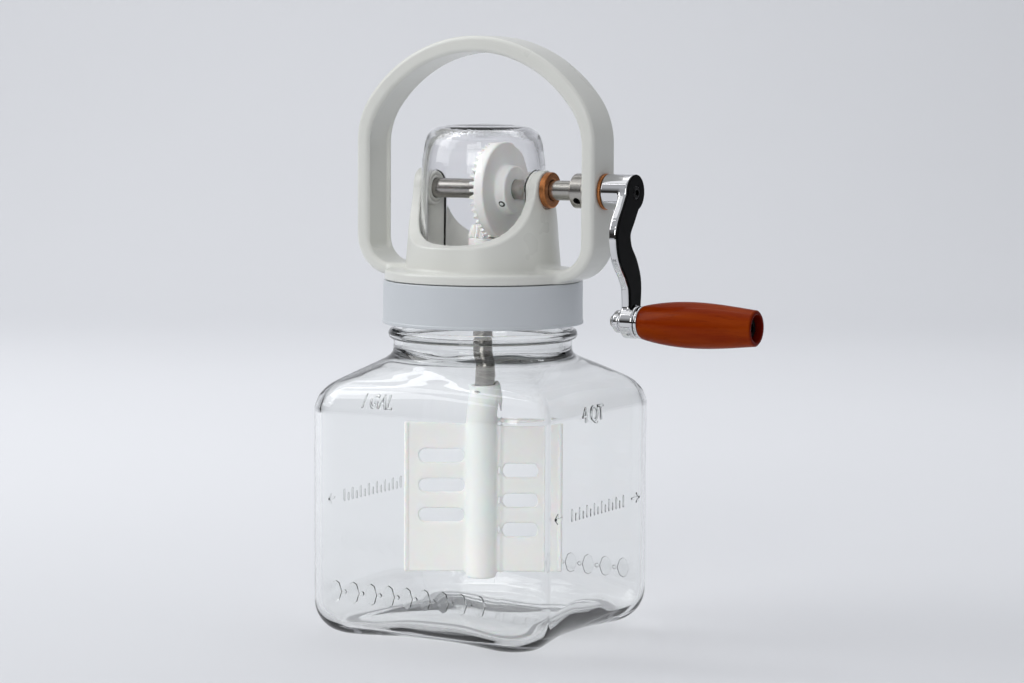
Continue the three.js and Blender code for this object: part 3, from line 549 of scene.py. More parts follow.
def clear_material(name, tint, index, ripple_scale, ripple_depth, shade):
    """Clear glass or plastic: full transmission, with a slow relief over the surface. Each wall dims a
    shadow ray to `shade`."""
    material = bpy.data.materials.new(name)
    material.use_nodes = True
    tree = material.node_tree
    shader = tree.nodes["Principled BSDF"]
    shader.inputs["Base Color"].default_value = (*tint, 1)
    shader.inputs["Roughness"].default_value = 0.0
    shader.inputs["Transmission Weight"].default_value = 1.0
    shader.inputs["IOR"].default_value = index
    relief = tree.nodes.new("ShaderNodeGroup")
    relief.node_tree = relief_group
    relief.inputs["Scale"].default_value = ripple_scale
    relief.inputs["Depth"].default_value = ripple_depth
    tree.links.new(stretched_coordinates(tree, (1, 1, 1)), relief.inputs["Vector"])
    tree.links.new(relief.outputs["Normal"], shader.inputs["Normal"])
    path = tree.nodes.new("ShaderNodeLightPath")
    through = tree.nodes.new("ShaderNodeBsdfTransparent")
    through.inputs["Color"].default_value = (shade, shade, shade, 1)
    mix = tree.nodes.new("ShaderNodeMixShader")
    tree.links.new(path.outputs["Is Shadow Ray"], mix.inputs[0])
    tree.links.new(shader.outputs["BSDF"], mix.inputs[1])
    tree.links.new(through.outputs["BSDF"], mix.inputs[2])
    tree.links.new(mix.outputs[0], tree.nodes["Material Output"].inputs["Surface"])
    return material


jar_glass = clear_material("jar_glass", (0.982, 0.988, 0.984), 1.5, 60, 0.035, 0.975)
dome_plastic = clear_material("dome_plastic", (0.985, 0.985, 0.995), 1.46, 60, 0.004, 0.975)

# %% [markdown]
# The grip is a fine, straight-grained hardwood, stained orange-brown and lacquered. The grain runs along
# the grip, so the noise is squeezed along X. Long pores are a second, finer noise that darkens the
# stain, and a clear coat gives the lacquer's gloss.

# %% Stained wood


def make_wood():
    """Grain is noise stretched along the grip; pores are a finer one, cut off sharply. The free end is
    darker, as the stain soaks deeper into the end grain, and the inside of its bore is darkened as painted
    shade."""
    material = finish_material("stained_wood", (0.185, 0.013, 0.0002), (0.27, 0.036, 0.0006), 0.38,
                               scale=(0.09, 1, 1), drift=150, grain=900, depth=0.03,
                               Coat_Weight=0.08, Coat_Roughness=0.1, Specular_IOR_Level=0.03)
    tree = material.node_tree
    link = tree.links.new
    shader = tree.nodes["Principled BSDF"]
    base = shader.inputs["Base Color"].links[0].from_socket
    pores = noise_node(tree, 1300, 2.0)
    cut_off = tree.nodes.new("ShaderNodeMapRange")
    cut_off.inputs["From Min"].default_value = 0.56
    cut_off.inputs["From Max"].default_value = 0.68
    cut_off.inputs["To Max"].default_value = 0.55
    darker = tree.nodes.new("ShaderNodeMix")
    darker.data_type = "RGBA"
    darker.blend_type = "MULTIPLY"
    darker.inputs["B"].default_value = (0.72, 0.60, 0.50, 1)
    link(stretched_coordinates(tree, (0.045, 1, 1)), pores.inputs["Vector"])
    link(pores.outputs["Fac"], cut_off.inputs["Value"])
    link(cut_off.outputs["Result"], darker.inputs["Factor"])
    link(base, darker.inputs["A"])
    place = tree.nodes.new("ShaderNodeSeparateXYZ")
    link(stretched_coordinates(tree, (1, 1, 1)), place.inputs["Vector"])
    end = tree.nodes.new("ShaderNodeMapRange")
    end.inputs["From Min"].default_value = (GRIP_END - 0.7) * MM
    end.inputs["From Max"].default_value = (GRIP_END - 0.2) * MM
    link(place.outputs["X"], end.inputs["Value"])
    off_axis = tree.nodes.new("ShaderNodeCombineXYZ")
    height = tree.nodes.new("ShaderNodeMath")
    height.operation = "SUBTRACT"
    height.inputs[1].default_value = GRIP_Z * MM
    length = tree.nodes.new("ShaderNodeVectorMath")
    length.operation = "LENGTH"
    # Painted shade: the inside of the bore, in the end's recess, gets the dark end colour.
    bore_shade = tree.nodes.new("ShaderNodeMapRange")
    bore_shade.inputs["From Min"].default_value = 9.0 * MM
    bore_shade.inputs["From Max"].default_value = 8.7 * MM
    either = tree.nodes.new("ShaderNodeMath")
    either.operation = "MAXIMUM"
    # Dark colour mixed in: on the end face as stain soaked into end grain, in the bore as painted shade.
    end_stain_and_bore_shade = tree.nodes.new("ShaderNodeMix")
    end_stain_and_bore_shade.data_type = "RGBA"
    end_stain_and_bore_shade.inputs["B"].default_value = (0.13, 0.007, 0.002, 1)
    link(place.outputs["Z"], height.inputs[0])
    link(place.outputs["Y"], off_axis.inputs["X"])
    link(height.outputs[0], off_axis.inputs["Y"])
    link(off_axis.outputs["Vector"], length.inputs[0])
    link(length.outputs["Value"], bore_shade.inputs["Value"])
    link(end.outputs["Result"], either.inputs[0])
    link(bore_shade.outputs["Result"], either.inputs[1])
    link(either.outputs[0], end_stain_and_bore_shade.inputs["Factor"])
    link(darker.outputs["Result"], end_stain_and_bore_shade.inputs["A"])
    link(end_stain_and_bore_shade.outputs["Result"], shader.inputs["Base Color"])
    return material


stained_wood = make_wood()

# %% [markdown]
# ## The jar
# The jar is pressed or blown in a square mould, so its walls are flat with generous upright corners and
# its neck is round. Each ring of the surface is found by sending the same set of directions out to a
# rounded square or to a circle and mixing the two, which gives the shoulder its change from square to
# round. The walls turn in to the base over a heel that is fuller in the middle of each face than at the
# corners, so the base edge bows. The middle of the base is pushed up a little, so that the jar stands on
# its rim. The inner wall is a second skin, so the glass has real thickness everywhere.

# %% Directions round the jar
JAR_CORNER = 24
JAR_WALL = 4
JAR_FLOOR = 7
SHOULDER_Z, NECK_Z = 146, 180
NECK_RADIUS, BORE_RADIUS = 58, 52.6
BEAD_RADIUS, BEAD_Z = 61.4, 192
THREAD_RADIUS, THREAD_PITCH = 61.2, 6
HEEL_FACE, HEEL_CORNER = 30, 21
PUSH_UP = 2.6
BEAD_HALF = 3.4
THREAD_Z, THREAD_HALF = 204, 1.3
SIDE_STEPS, CORNER_STEPS = 22, 22
SHOULDER_PATH = [(0, -0.16), (0, 0), (0.03, 0.13), (0.08, 0.27), (0.21, 0.44), (0.46, 0.62),
                 (0.72, 0.79), (0.93, 0.93), (1, 1.06), (1, 1.2)]


def square_ring(half, corner):
    """Points round a square with round corners: each side is even steps, each corner an even arc."""
    flat = half - corner
    side = np.linspace(-flat, flat, SIDE_STEPS, endpoint=False)
    turn = np.linspace(0, math.pi / 2, CORNER_STEPS, endpoint=False)
    x = np.concatenate([np.full(SIDE_STEPS, float(half)), flat + corner * np.cos(turn)])
    y = np.concatenate([side, flat + corner * np.sin(turn)])
    quarters = [np.stack([x, y], 1) @ np.array([[c, s], [-s, c]])
                for c, s in ((1, 0), (0, 1), (-1, 0), (0, -1))]
    return np.vstack(quarters)


MARK_HEIGHT = 0.7
MARK_SUNK = 0.15
WALL_HALF = JAR_HALF - (MARK_HEIGHT - MARK_SUNK)
OUTER_SQUARE = square_ring(WALL_HALF, JAR_CORNER)
INNER_SQUARE = square_ring(WALL_HALF - JAR_WALL, JAR_CORNER - JAR_WALL)
DIRECTION = OUTER_SQUARE / np.linalg.norm(OUTER_SQUARE, axis=1)[:, None]
AROUND = np.arctan2(DIRECTION[:, 1], DIRECTION[:, 0])


def at_height(ring, z):
    """A plan outline lifted to a height, which may change round the ring."""
    return np.column_stack([ring, np.broadcast_to(z, len(ring))])


def round_ring(radius, z):
    """A circle met by the jar's directions."""
    return at_height(DIRECTION * np.reshape(radius, (-1, 1)), z)


def heel_rings(square, lift, shrink, count):
    """A quarter circle from base to wall whose radius goes from the face value to the corner value:
    the mix is the fourth power of the sine of twice the angle off the face."""
    off = np.arctan2(np.abs(square).min(1), np.abs(square).max(1))
    mix = np.sin(2 * off) ** 4
    radius = HEEL_FACE + (HEEL_CORNER - HEEL_FACE) * mix - shrink
    reach = np.linalg.norm(square, axis=1)
    rings = []
    for angle in np.linspace(0, math.pi / 2, count):
        inset = radius * (1 - math.sin(angle))
        along_face = 1 - inset / np.abs(square).max(1)
        along_ray = 1 - inset / reach
        scale = along_face * (1 - mix) + along_ray * mix
        rings.append(at_height(square * scale[:, None], lift + radius * (1 - math.cos(angle))))
    return rings


def shoulder_rings(square, neck, z0, z1, count):
    """From the square wall to the round neck, along a smooth path of inward share against height."""
    circle = DIRECTION * neck
    return [at_height(square + (circle - square) * min(max(share, 0), 1), z0 + (z1 - z0) * up)
            for share, up in smooth_curve(SHOULDER_PATH, count)]


# %% Jar surface


def thread_height(z):
    """The thread's height round the neck: a rounded ridge on a helix, tapering in and out."""
    turns = AROUND / (2 * math.pi)
    ridge = np.zeros(len(AROUND))
    for lap in (-1, 0, 1, 2):
        progress = turns + lap
        middle = THREAD_Z + THREAD_PITCH * progress
        fade = np.clip(np.minimum(progress + 0.5, 1.4 - progress) * 6, 0, 1)
        ridge = np.maximum(ridge, fade * np.exp(-(((z - middle) / THREAD_HALF) ** 4)))
    return ridge * (THREAD_RADIUS - NECK_RADIUS)


def jar_surface():
    """Rings from the middle of the base, up the outside, over the lip, and down to the inner floor."""
    base = heel_rings(OUTER_SQUARE, 0, 0, 18)
    stand = base[0][:, :2]
    rings = []
    for share in np.linspace(0.12, 0.9, 12):
        lift = PUSH_UP * (1 - np.clip((share - 0.2) / 0.66, 0, 1) ** 2)
        rings.append(at_height(stand * share, lift))
    rings += base
    rings += [at_height(OUTER_SQUARE, z) for z in np.linspace(HEEL_FACE + 3, SHOULDER_Z - 8, 12)]
    rings += shoulder_rings(OUTER_SQUARE, NECK_RADIUS, SHOULDER_Z, NECK_Z, 46)
    bead = arc((0, 0), 1, -90, 90, 12)
    rings += [round_ring(NECK_RADIUS + (BEAD_RADIUS - NECK_RADIUS) * out**0.8, BEAD_Z + BEAD_HALF * up)
              for out, up in bead]
    rings += [round_ring(NECK_RADIUS + thread_height(z), z) for z in np.arange(198, 215.2, 0.7)]
    lip = rounded([[NECK_RADIUS, 214], [NECK_RADIUS, LIP_Z], [BORE_RADIUS, LIP_Z], [BORE_RADIUS, 213]],
                  2.0, 8, closed=False)[1:]
    rings += [round_ring(radius, z) for radius, z in lip]
    rings += [round_ring(BORE_RADIUS, z) for z in (206, 199, 194)]
    inside = shoulder_rings(INNER_SQUARE, BORE_RADIUS, SHOULDER_Z - 1, NECK_Z + 2, 40)
    rings += inside[::-1]
    rings += [at_height(INNER_SQUARE, z) for z in np.linspace(SHOULDER_Z - 9, 40, 12)]
    rings += heel_rings(INNER_SQUARE, JAR_FLOOR, 6, 16)[::-1]
    floor = rings[-1][:, :2]
    rings += [at_height(floor * share, JAR_FLOOR) for share in np.linspace(0.88, 0.1, 8)]
    columns = len(OUTER_SQUARE)
    points = np.vstack(rings)
    faces = grid_faces(len(rings), columns)
    first, last = len(points), len(points) + 1
    points = np.vstack([points, [0, 0, PUSH_UP], [0, 0, JAR_FLOOR]])
    top = (len(rings) - 1) * columns
    for k in range(columns):
        nxt = (k + 1) % columns
        faces += [[first, nxt, k], [last, top + k, top + nxt]]
    return points, faces


paint(piece("jar_glass_body", *jar_surface(), "jar", ["glass_jar"], sharp=60), jar_glass)

# %% [markdown]
# Raised marks stand on the walls: a capacity on two faces, a level line with an arrow on the two side
# faces, and a plain row of lozenges low on the front and back. In the mould they are cut a fraction of a
# millimetre deep, with sloping sides. Each is a low relief that stands just proud of the glass.

# %% Marks in the glass
FACES = {
    "front": ((1, 0, 0), (0, -1, 0)),
    "right": ((0, 1, 0), (1, 0, 0)),
    "back": ((-1, 0, 0), (0, 1, 0)),
    "left": ((0, -1, 0), (-1, 0, 0)),
}
MARK_SLOPE = 0.35
LOZENGE_STEP, LOZENGE_START, LOZENGE_Z = 13.2, -58, 30.5
LEVEL_Z, STROKE_HALF = 84, 0.7


def wall_share(reach, off, z):
    """How much of its reach a wall point keeps at a height: less over the shoulder, as the outline
    mixes with the neck's circle, and less over the heel's quarter circle."""
    share, up = smooth_curve(SHOULDER_PATH, 60).T
    shoulder = np.interp(z, SHOULDER_Z + (NECK_Z - SHOULDER_Z) * up, share.clip(0, 1))
    mix = np.sin(2 * off) ** 4
    radius = HEEL_FACE + (HEEL_CORNER - HEEL_FACE) * mix
    inset = radius * (1 - np.sqrt(1 - (1 - np.clip(z / radius, 0, 1)) ** 2))
    return (1 - shoulder * (1 - NECK_RADIUS / reach)) * (1 - inset / WALL_HALF)


def on_face(face, points, along, z):
    """Puts points [across, up, out] on a face of the jar, following its shoulder and heel. Across runs to
    the right seen from outside."""
    across, out = (np.array(v, float) for v in FACES[face])
    points = np.asarray(points, float) + [along, z, 0]
    side = points[:, :1]
    reach = np.hypot(side, WALL_HALF)
    keep = wall_share(reach, np.arctan2(np.abs(side), WALL_HALF), points[:, 1:2])
    return (side * keep * across + points[:, 1:2] * np.array([0, 0, 1.0])
            + (WALL_HALF * keep - MARK_SUNK + points[:, 2:]) * out)


def raised(outline):
    """A raised shape from an outline: its foot, its top drawn in by the slope, and two flat caps."""
    outline = np.asarray(outline, float)
    middle = outline.mean(0)
    gap = outline - middle
    inner = middle + gap * (1 - MARK_SLOPE / np.abs(gap).max(1, keepdims=True).clip(MARK_SLOPE * 1.6))
    count = len(outline)
    points = np.vstack([np.column_stack([outline, np.zeros(count)]),
                        np.column_stack([inner, np.full(count, MARK_HEIGHT)])])
    ring = np.arange(count)
    nxt = (ring + 1) % count
    sides = np.stack([ring, nxt, nxt + count, ring + count], 1).tolist()
    return points, sides + [ring[::-1].tolist(), (ring + count).tolist()]


def stroke(x0, y0, x1, y1, half):
    """A straight bar with round ends."""
    angle = math.degrees(math.atan2(y1 - y0, x1 - x0))
    return np.vstack([arc((x1, y1), half, angle - 90, angle + 90, 8),
                      arc((x0, y0), half, angle + 90, angle + 270, 8)])


def lettering(name, text, height, condense, face, along, z):
    """Plain sans capitals made a mesh, narrowed by `condense`, then put on a face."""
    curve = bpy.data.curves.new(name, "FONT")
    curve.body = text
    curve.size = height * MM / 0.7
    curve.align_x = "CENTER"
    curve.offset = -0.0001
    curve.extrude = MARK_HEIGHT * MM / 2
    curve.bevel_depth = 0.0003
    curve.bevel_resolution = 2
    made = bpy.data.objects.new(name, curve)
    bpy.context.scene.collection.objects.link(made)
    bpy.context.view_layer.update()
    mesh = bpy.data.meshes.new_from_object(made.evaluated_get(bpy.context.evaluated_depsgraph_get()))
    bpy.data.objects.remove(made)
    points = np.zeros(len(mesh.vertices) * 3)
    mesh.vertices.foreach_get("co", points)
    points = points.reshape(-1, 3) / MM * [condense, 1, 1] + [0, 0, MARK_HEIGHT / 2]
    faces = [list(polygon.vertices) for polygon in mesh.polygons]
    return piece(name, on_face(face, points, along, z), faces, "jar")


marks = [lettering("capacity_mark_front", "1 GAL", 8.8, 0.72, "front", -29, 149.3),
         lettering("capacity_mark_right", "4 QT", 9.6, 0.95, "right", -8, 141)]
lozenge = np.array([(-4.6, 0), (-2.6, -5.6), (0, -7), (2.6, -5.6), (4.6, 0), (2.6, 5.6), (0, 7),
                    (-2.6, 5.6)])
bead_dot = arc((0, 0), 1.5, 0, 337.5, 15)
for face in ("front", "back"):
    shapes = []
    for k in range(9):
        shapes.append(raised(lozenge + [k * LOZENGE_STEP, 0]))
        if k < 8:
            shapes.append(raised(bead_dot + [(k + 0.5) * LOZENGE_STEP, 0]))
    points, faces = merge(*shapes)
    points = on_face(face, points, LOZENGE_START, LOZENGE_Z)
    marks.append(piece(f"lozenge_band_{face}", points, faces, "jar"))
for face in ("left", "right"):
    shapes = []
    for way in (-1, 1):
        shapes += [raised(stroke(way * 57, 0, way * inner, rise, STROKE_HALF))
                   for inner, rise in ((47, 0), (53.6, 2.8), (53.6, -2.8))]
    shapes += [raised(stroke(x, -3.4, x, 3.4 - 3 * (k % 2), STROKE_HALF))
               for k, x in enumerate(range(-35, 36, 5))]
    points, faces = merge(*shapes)
    marks.append(piece(f"level_mark_{face}", on_face(face, points, 0, LEVEL_Z), faces, "jar"))
for mark in marks:
    paint(mark, jar_glass)

# %% [markdown]
# ## Collar, gasket and rings
# The collar is a plain moulded ring with a thin rolled lip at its lower edge. A rubber gasket seals the
# lip of the jar, and a split ring under the collar's top plate keeps the collar on the head.

# %% Closure
collar_profile = rounded([
    [62.3, COLLAR_Z], [COLLAR_RADIUS, COLLAR_Z], [COLLAR_RADIUS, COLLAR_Z + 1.8],
    [COLLAR_RADIUS - 0.5, COLLAR_Z + 2.3], [COLLAR_RADIUS - 0.5, COLLAR_TOP], [56.4, COLLAR_TOP],
    [56.4, COLLAR_TOP - 2.6], [62.3, COLLAR_TOP - 2.6],
], 0.9)
paint(piece("collar", *lathe(collar_profile, 144), "collar", ["screw_collar"]), grey_moulding)
gasket = rounded([[52.6, 217.8], [59.4, 217.8], [59.4, 220.1], [52.6, 220.1]], 0.7)
paint(piece("gasket", *lathe(gasket), "head", ["neck_gasket"]), soft_rubber)
keeper = rounded([[54.8, 221.4], [60.5, 221.4], [60.5, 223.2], [54.8, 223.2]], 0.3)
paint(piece("collar_keeper", *lathe(keeper), "head", ["collar_retaining_ring"]), white_moulding)

# %% [markdown]
# ## Head frame
# Flange, gear housing, pillars and carrying handle are one injection moulding in white plastic. The
# housing is a slightly tapered cup cut down to two pillars, whose sides sweep up in a curve to the crank
# bearings. The handle is a flat band with soft edges that rises from the flange, stands upright and
# closes in an arch about the crank axis. Every inside corner has a fillet, as a mould needs.

# %% Outlines of the head


def bezier(points, steps=10):
    """A Bezier curve, by mixing neighbours again and again."""
    t = np.linspace(0, 1, steps + 1)[:, None]
    layer = [np.asarray(p, float) + 0 * t for p in points]
    while len(layer) > 1:
        layer = [a * (1 - t) + b * t for a, b in zip(layer, layer[1:])]
    return layer[0]


SILL_Z = 249.5


def pillar_outline():
    """A pillar in Y and Z: half a circle about the crank axis, then a sweep out to the sill."""
    side = np.vstack([
        bezier([(52, SILL_Z), (41, SILL_Z), (33, 255.5)], 8),
        bezier([(33, 255.5), (20, 263), (14.5, 277), (12.5, SHAFT_Z)], 14)[1:],
    ])
    top = arc((0, SHAFT_Z), 12.5, 0, 180, 24)[1:-1]
    return np.vstack([[(60, SILL_Z - 30)], [(60, SILL_Z)], side, top, side[::-1] * [-1, 1],
                      [(-60, SILL_Z)], [(-60, SILL_Z - 30)]])


def handle_edge(reach, arch, corner, toe, toe_z):
    """The right half of one edge of the handle in X and Z, from the flange to the top: toe arc, upright,
    corner arc and arch about the crank axis."""
    middle_x = reach - corner
    rise = math.sqrt((arch - corner) ** 2 - middle_x**2)
    turn = math.degrees(math.atan2(rise, middle_x))
    return np.vstack([
        [(46, toe_z)],
        arc((reach - toe, toe_z + toe), toe, -90, 0, 12),
        arc((middle_x, SHAFT_Z + rise), corner, 0, turn, 14),
        arc((0, SHAFT_Z), arch, turn, 90, 16)[1:],
    ])


def both_sides(edge):
    """A right half edge that ends on the middle line, followed by its mirror image going down."""
    return np.vstack([edge, edge[-2::-1] * [-1, 1]])


PILLAR = pillar_outline()
OUTER_EDGE = both_sides(handle_edge(HANDLE_OUT, HANDLE_TOP - SHAFT_Z, 50, 26, 228))
INNER_EDGE = both_sides(handle_edge(HANDLE_OUT - 9.5, HANDLE_TOP - SHAFT_Z - 10.5, 41, 16, 236))
HANDLE = np.vstack([OUTER_EDGE, INNER_EDGE[::-1]])

# %% Head distance
FLANGE_Z, FLANGE_TOP, FLANGE_RADIUS = 226.9, 233.5, 63.6
SPIGOT_RADIUS, SPIGOT_Z, SPIGOT_TOP = 56, 220.4, 230
HOUSING_BASE, HOUSING_TOP, HOUSING_BORE = 50.6, 47.4, 41.3
TAPER_END, TAPER_HEIGHT = 282, 49
FLOOR_TOP = 240
HOLLOW_RADIUS, HOLLOW_TOP = 50, 230
GROOVE_Z, GROOVE_HALF, GROOVE_RADIUS = 222.3, 1.25, 54.4
HANDLE_HALF = 15
BOSS_RADIUS, BOSS_IN, BOSS_OUT = 11.2, 36.4, 45.4
BUSH_HOLE = 8.9
SEAT_RADIUS, SEAT_IN, SEAT_OUT = 12, 46.7, 72
CHANNEL_LOW, CHANNEL_TOP, CHANNEL_DEPTH, CHANNEL_HALF = 245, 340, 2.4, 11.6


def rod_distance(x, y, z, radius, x0, x1, edge=0.5):
    """A cylinder about the crank axis from x0 to x1."""
    return meet(np.hypot(y, z - SHAFT_Z) - radius, np.maximum(x0 - x, x - x1), edge)


def head_distance(x, y, z):
    """Flange, housing cup, pillars, handle and bosses joined with fillets, then the hollow, the holes
    and the channel in the handle's left leg taken out."""
    r = np.hypot(x, y)
    flange = meet(meet(r - FLANGE_RADIUS, z - FLANGE_TOP, 1.9), FLANGE_Z - z, 0.4)
    taper = HOUSING_TOP + (HOUSING_BASE - HOUSING_TOP) * np.clip((TAPER_END - z) / TAPER_HEIGHT, 0, 1) ** 1.5
    cup = meet(r - taper, z - FLOOR_TOP, 0.6)
    wall = meet(np.maximum(r - taper, HOUSING_BORE - r), z - SHAFT_Z - 40, 0.6)
    pillars = meet(wall, outline_distance(y, z, PILLAR), 1.1)
    handle = meet(outline_distance(x, z, HANDLE), np.abs(y) - HANDLE_HALF, 3.0)
    bosses = rod_distance(np.abs(x), y, z, BOSS_RADIUS, BOSS_IN, BOSS_OUT, 0.8)
    upper = blend_min(flange, cup, 2.4)
    upper = np.minimum(upper, pillars)
    upper = blend_min(upper, handle, 4.5)
    upper = blend_min(upper, bosses, 0.8)
    upper = meet(upper, FLANGE_Z - z, 0.4)
    spigot_height = np.abs(z - (SPIGOT_Z + SPIGOT_TOP) / 2) - (SPIGOT_TOP - SPIGOT_Z) / 2
    spigot = meet(r - SPIGOT_RADIUS, spigot_height, 0.5)
    groove = np.maximum(np.abs(z - GROOVE_Z) - GROOVE_HALF, GROOVE_RADIUS - r)
    solid = carve(np.minimum(upper, spigot), np.maximum(r - HOLLOW_RADIUS, z - HOLLOW_TOP), 0.5)
    solid = carve(solid, groove, 0.2)
    solid = carve(solid, rod_distance(x, y, z, BUSH_HOLE, -45, 0, 0.3))
    solid = carve(solid, rod_distance(x, y, z, BUSH_HOLE, 0, 95, 0.3))
    solid = carve(solid, rod_distance(x, y, z, SEAT_RADIUS, SEAT_IN, SEAT_OUT, 0.3), 0.3)
    solid = carve(solid, np.maximum(r - BUSH_HOLE, z - 260), 0.4)
    channel = meet(np.abs(y) - CHANNEL_HALF, np.maximum(CHANNEL_LOW - z, x + 50), 4)
    fade = np.clip((CHANNEL_TOP - z) / 30, 0, 1)
    depth = CHANNEL_DEPTH * (3 - 2 * fade) * fade**2
    channel = meet(channel, outline_distance(x, z, INNER_EDGE) - depth, 1.6)
    return carve(solid, channel, 0.8)


head_low, head_high = (np.array(v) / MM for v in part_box("head_frame"))
head = moulding("head_moulding", head_distance, head_low, head_high, 1.2, "head", ["head_frame"])
paint(head, white_moulding)

# %% [markdown]
# ## Dome
# The gear cover is a clear moulded cup, thin in the wall and thick in the crown, with a slot on each side
# that drops over the crank bearings. It is a turned wall with the two slots taken out.

# %% Dome
DOME_WALL = rounded([
    [0, DOME_TOP - 4.4], [18, DOME_TOP - 4.8], [DOME_RADIUS - 12.5, 321.4], [DOME_RADIUS - 8.2, 317.6],
    [DOME_RADIUS - 5.9, 311.5], [DOME_RADIUS - 3.9, 301], [DOME_RADIUS - 3.1, 285], [37.9, DOME_BASE],
    [DOME_RADIUS, DOME_BASE], [DOME_RADIUS, 285], [DOME_RADIUS - 0.6, 303], [DOME_RADIUS - 2.4, 315],
    [DOME_RADIUS - 4.6, 321.5], [DOME_RADIUS - 10, 325.3], [18, DOME_TOP - 0.7], [0, DOME_TOP],
], 3, 4, closed=False)
DOME_OUTLINE = np.vstack([DOME_WALL, [[-8, DOME_TOP]], [[-8, DOME_TOP - 4.4]]])
SLOT_HALF, SLOT_IN = 12, 20


def dome_distance(x, y, z):
    """A turned wall, less a slot on each side that ends in a half circle about the crank axis."""
    wall = outline_distance(np.hypot(x, y), z, DOME_OUTLINE)
    slot = np.where(z > SHAFT_Z, np.hypot(y, z - SHAFT_Z), np.abs(y)) - SLOT_HALF
    return carve(wall, np.maximum(slot, SLOT_IN - np.abs(x)), 0.7)


dome_low, dome_high = (np.array(v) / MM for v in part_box("clear_dome"))
dome = moulding("dome", dome_distance, dome_low, dome_high, 1.0, "dome", ["clear_dome"])
paint(dome, dome_plastic)

# %% [markdown]
# ## Bevel gears
# A large face gear on the crank drives a small pinion on the dasher shaft. Both are moulded in nylon.
# The teeth of both point at the place where the two axes cross, so each tooth is one outline that
# shrinks towards that point. The rings of the toothed face are pushed in and out along the cone's normal
# by a tooth wave; the other rings are a plain turned body.

# %% Teeth
GEAR_TEETH, PINION_TEETH = 42, 12
GEAR_PITCH = 31
TOOTH_FACE = 8
SHAFT_BORE, BUSH_RADIUS, BUSH_RIM = 6.65, 8.6, 11.5
MODULE = 2 * GEAR_PITCH / GEAR_TEETH
PINION_PITCH = MODULE * PINION_TEETH / 2
INNER_SCALE = 1 - TOOTH_FACE / math.hypot(GEAR_PITCH, PINION_PITCH)
PITCH_ARC = math.pi * MODULE
ADDENDUM = 0.85 * MODULE


def tooth_wave(root_half, tip_half, foot, tip):
    """Angles within one tooth as shares of its pitch, and the height there: flat tip, curved flank,
    flat root."""
    bulge = [0.28, 0.55, 0.8]
    flank = [root_half + (tip_half - root_half) * b**1.25 for b in bulge]
    across = np.array([0, tip_half * 0.7, tip_half, *flank[::-1], root_half, root_half * 1.18]) / PITCH_ARC
    height = np.array([tip, tip, tip - 0.12, *[foot + (tip - foot) * b for b in bulge[::-1]], foot, foot])
    order = np.argsort(across)
    across, height = across[order], height[order]
    return np.concatenate([-across[:0:-1], across]), np.concatenate([height[:0:-1], height])


def bevel_gear(count, pitch_radius, pitch_height, root_half, tip_half, foot, phase, before, after):
    """Rings of a gear about +Z with its apex at the origin. `before` and `after` are the plain profile on
    either side of the toothed face."""
    share, height = tooth_wave(root_half, tip_half, foot, ADDENDUM)
    angle = (np.arange(count)[:, None] + phase + share[None, :]).ravel() * 2 * math.pi / count
    wave = np.tile(height, count)
    cone = math.hypot(pitch_radius, pitch_height)
    out_r, out_h = pitch_height / cone, -pitch_radius / cone
    rows = [(np.full(len(angle), r), np.full(len(angle), h)) for r, h in before]
    scales = np.linspace(INNER_SCALE, 1, 5)
    for k, scale in enumerate([scales[0] - 0.004, *scales, scales[-1] + 0.003]):
        depth = wave if 0 < k < 6 else np.full(len(angle), foot)
        rows.append((scale * (pitch_radius + out_r * depth), scale * (pitch_height + out_h * depth)))
    rows += [(np.full(len(angle), r), np.full(len(angle), h)) for r, h in after]
    points = np.stack([
        np.stack([r * np.cos(angle), r * np.sin(angle), h], 1) for r, h in rows
    ]).reshape(-1, 3)
    return points, grid_faces(len(rows), len(angle), wrap_rows=True)


rim_inner = GEAR_PITCH * INNER_SCALE - 1
web = rounded([[SHAFT_BORE, 24], [SHAFT_BORE, 4.6], [rim_inner - 3, 4.6], [rim_inner - 0.4, 8.1]],
              0.8, 4, False)
back = rounded([[GEAR_PITCH + 0.2, 10.9], [GEAR_PITCH + 0.6, 12], [GEAR_PITCH + 0.6, 17.4], [16.2, 17.4],
                [15.8, 24], [SHAFT_BORE, 24]], 1.4, 4, False)
gear_points, gear_faces = bevel_gear(GEAR_TEETH, GEAR_PITCH, PINION_PITCH, 0.25 * PITCH_ARC,
                                     0.13 * PITCH_ARC, -1.35 * MODULE, 0.5, web[1:], back)
gear_points = gear_points @ np.array(Matrix.Rotation(math.pi / 2, 3, "Y")).T + [0, 0, SHAFT_Z]
gear = piece("face_gear", gear_points, gear_faces, "crank", ["drive_gear"])
paint(gear, gear_nylon)

pinion_root = PINION_PITCH - 1.1 * MODULE
pinion_low = GEAR_PITCH * INNER_SCALE
nose = rounded([[4.1, 42], [4.1, pinion_low], [pinion_root * INNER_SCALE, pinion_low]], 0.4, 3, False)
tail = rounded([[9.2, GEAR_PITCH + 0.8], [9.6, GEAR_PITCH + 1.2], [9.6, 42], [4.1, 42]], 0.8, 4, False)
pinion_points, pinion_faces = bevel_gear(PINION_TEETH, PINION_PITCH, GEAR_PITCH, 0.22 * PITCH_ARC,
                                         0.1 * PITCH_ARC, -1.2 * MODULE, 0, nose[1:], tail)
pinion_points = pinion_points @ np.array(Matrix.Rotation(math.pi, 3, "X")).T + [0, 0, SHAFT_Z]
pinion = piece("small_pinion", pinion_points, pinion_faces, "dasher", ["bevel_pinion"])
paint(pinion, gear_nylon)

# %% [markdown]
# ## Shafts, bushes and pins
# These are all turned. The shafts are ground steel with small chamfers. The bushes are sintered bronze
# with a rounded flange, except the plain one in the left pillar, which is as white as the moulding. The
# pins and the seal are small and mostly hidden, but each has its own surface, so that a view from below
# or with the head lifted shows real parts.

# %% Turned parts on the crank axis


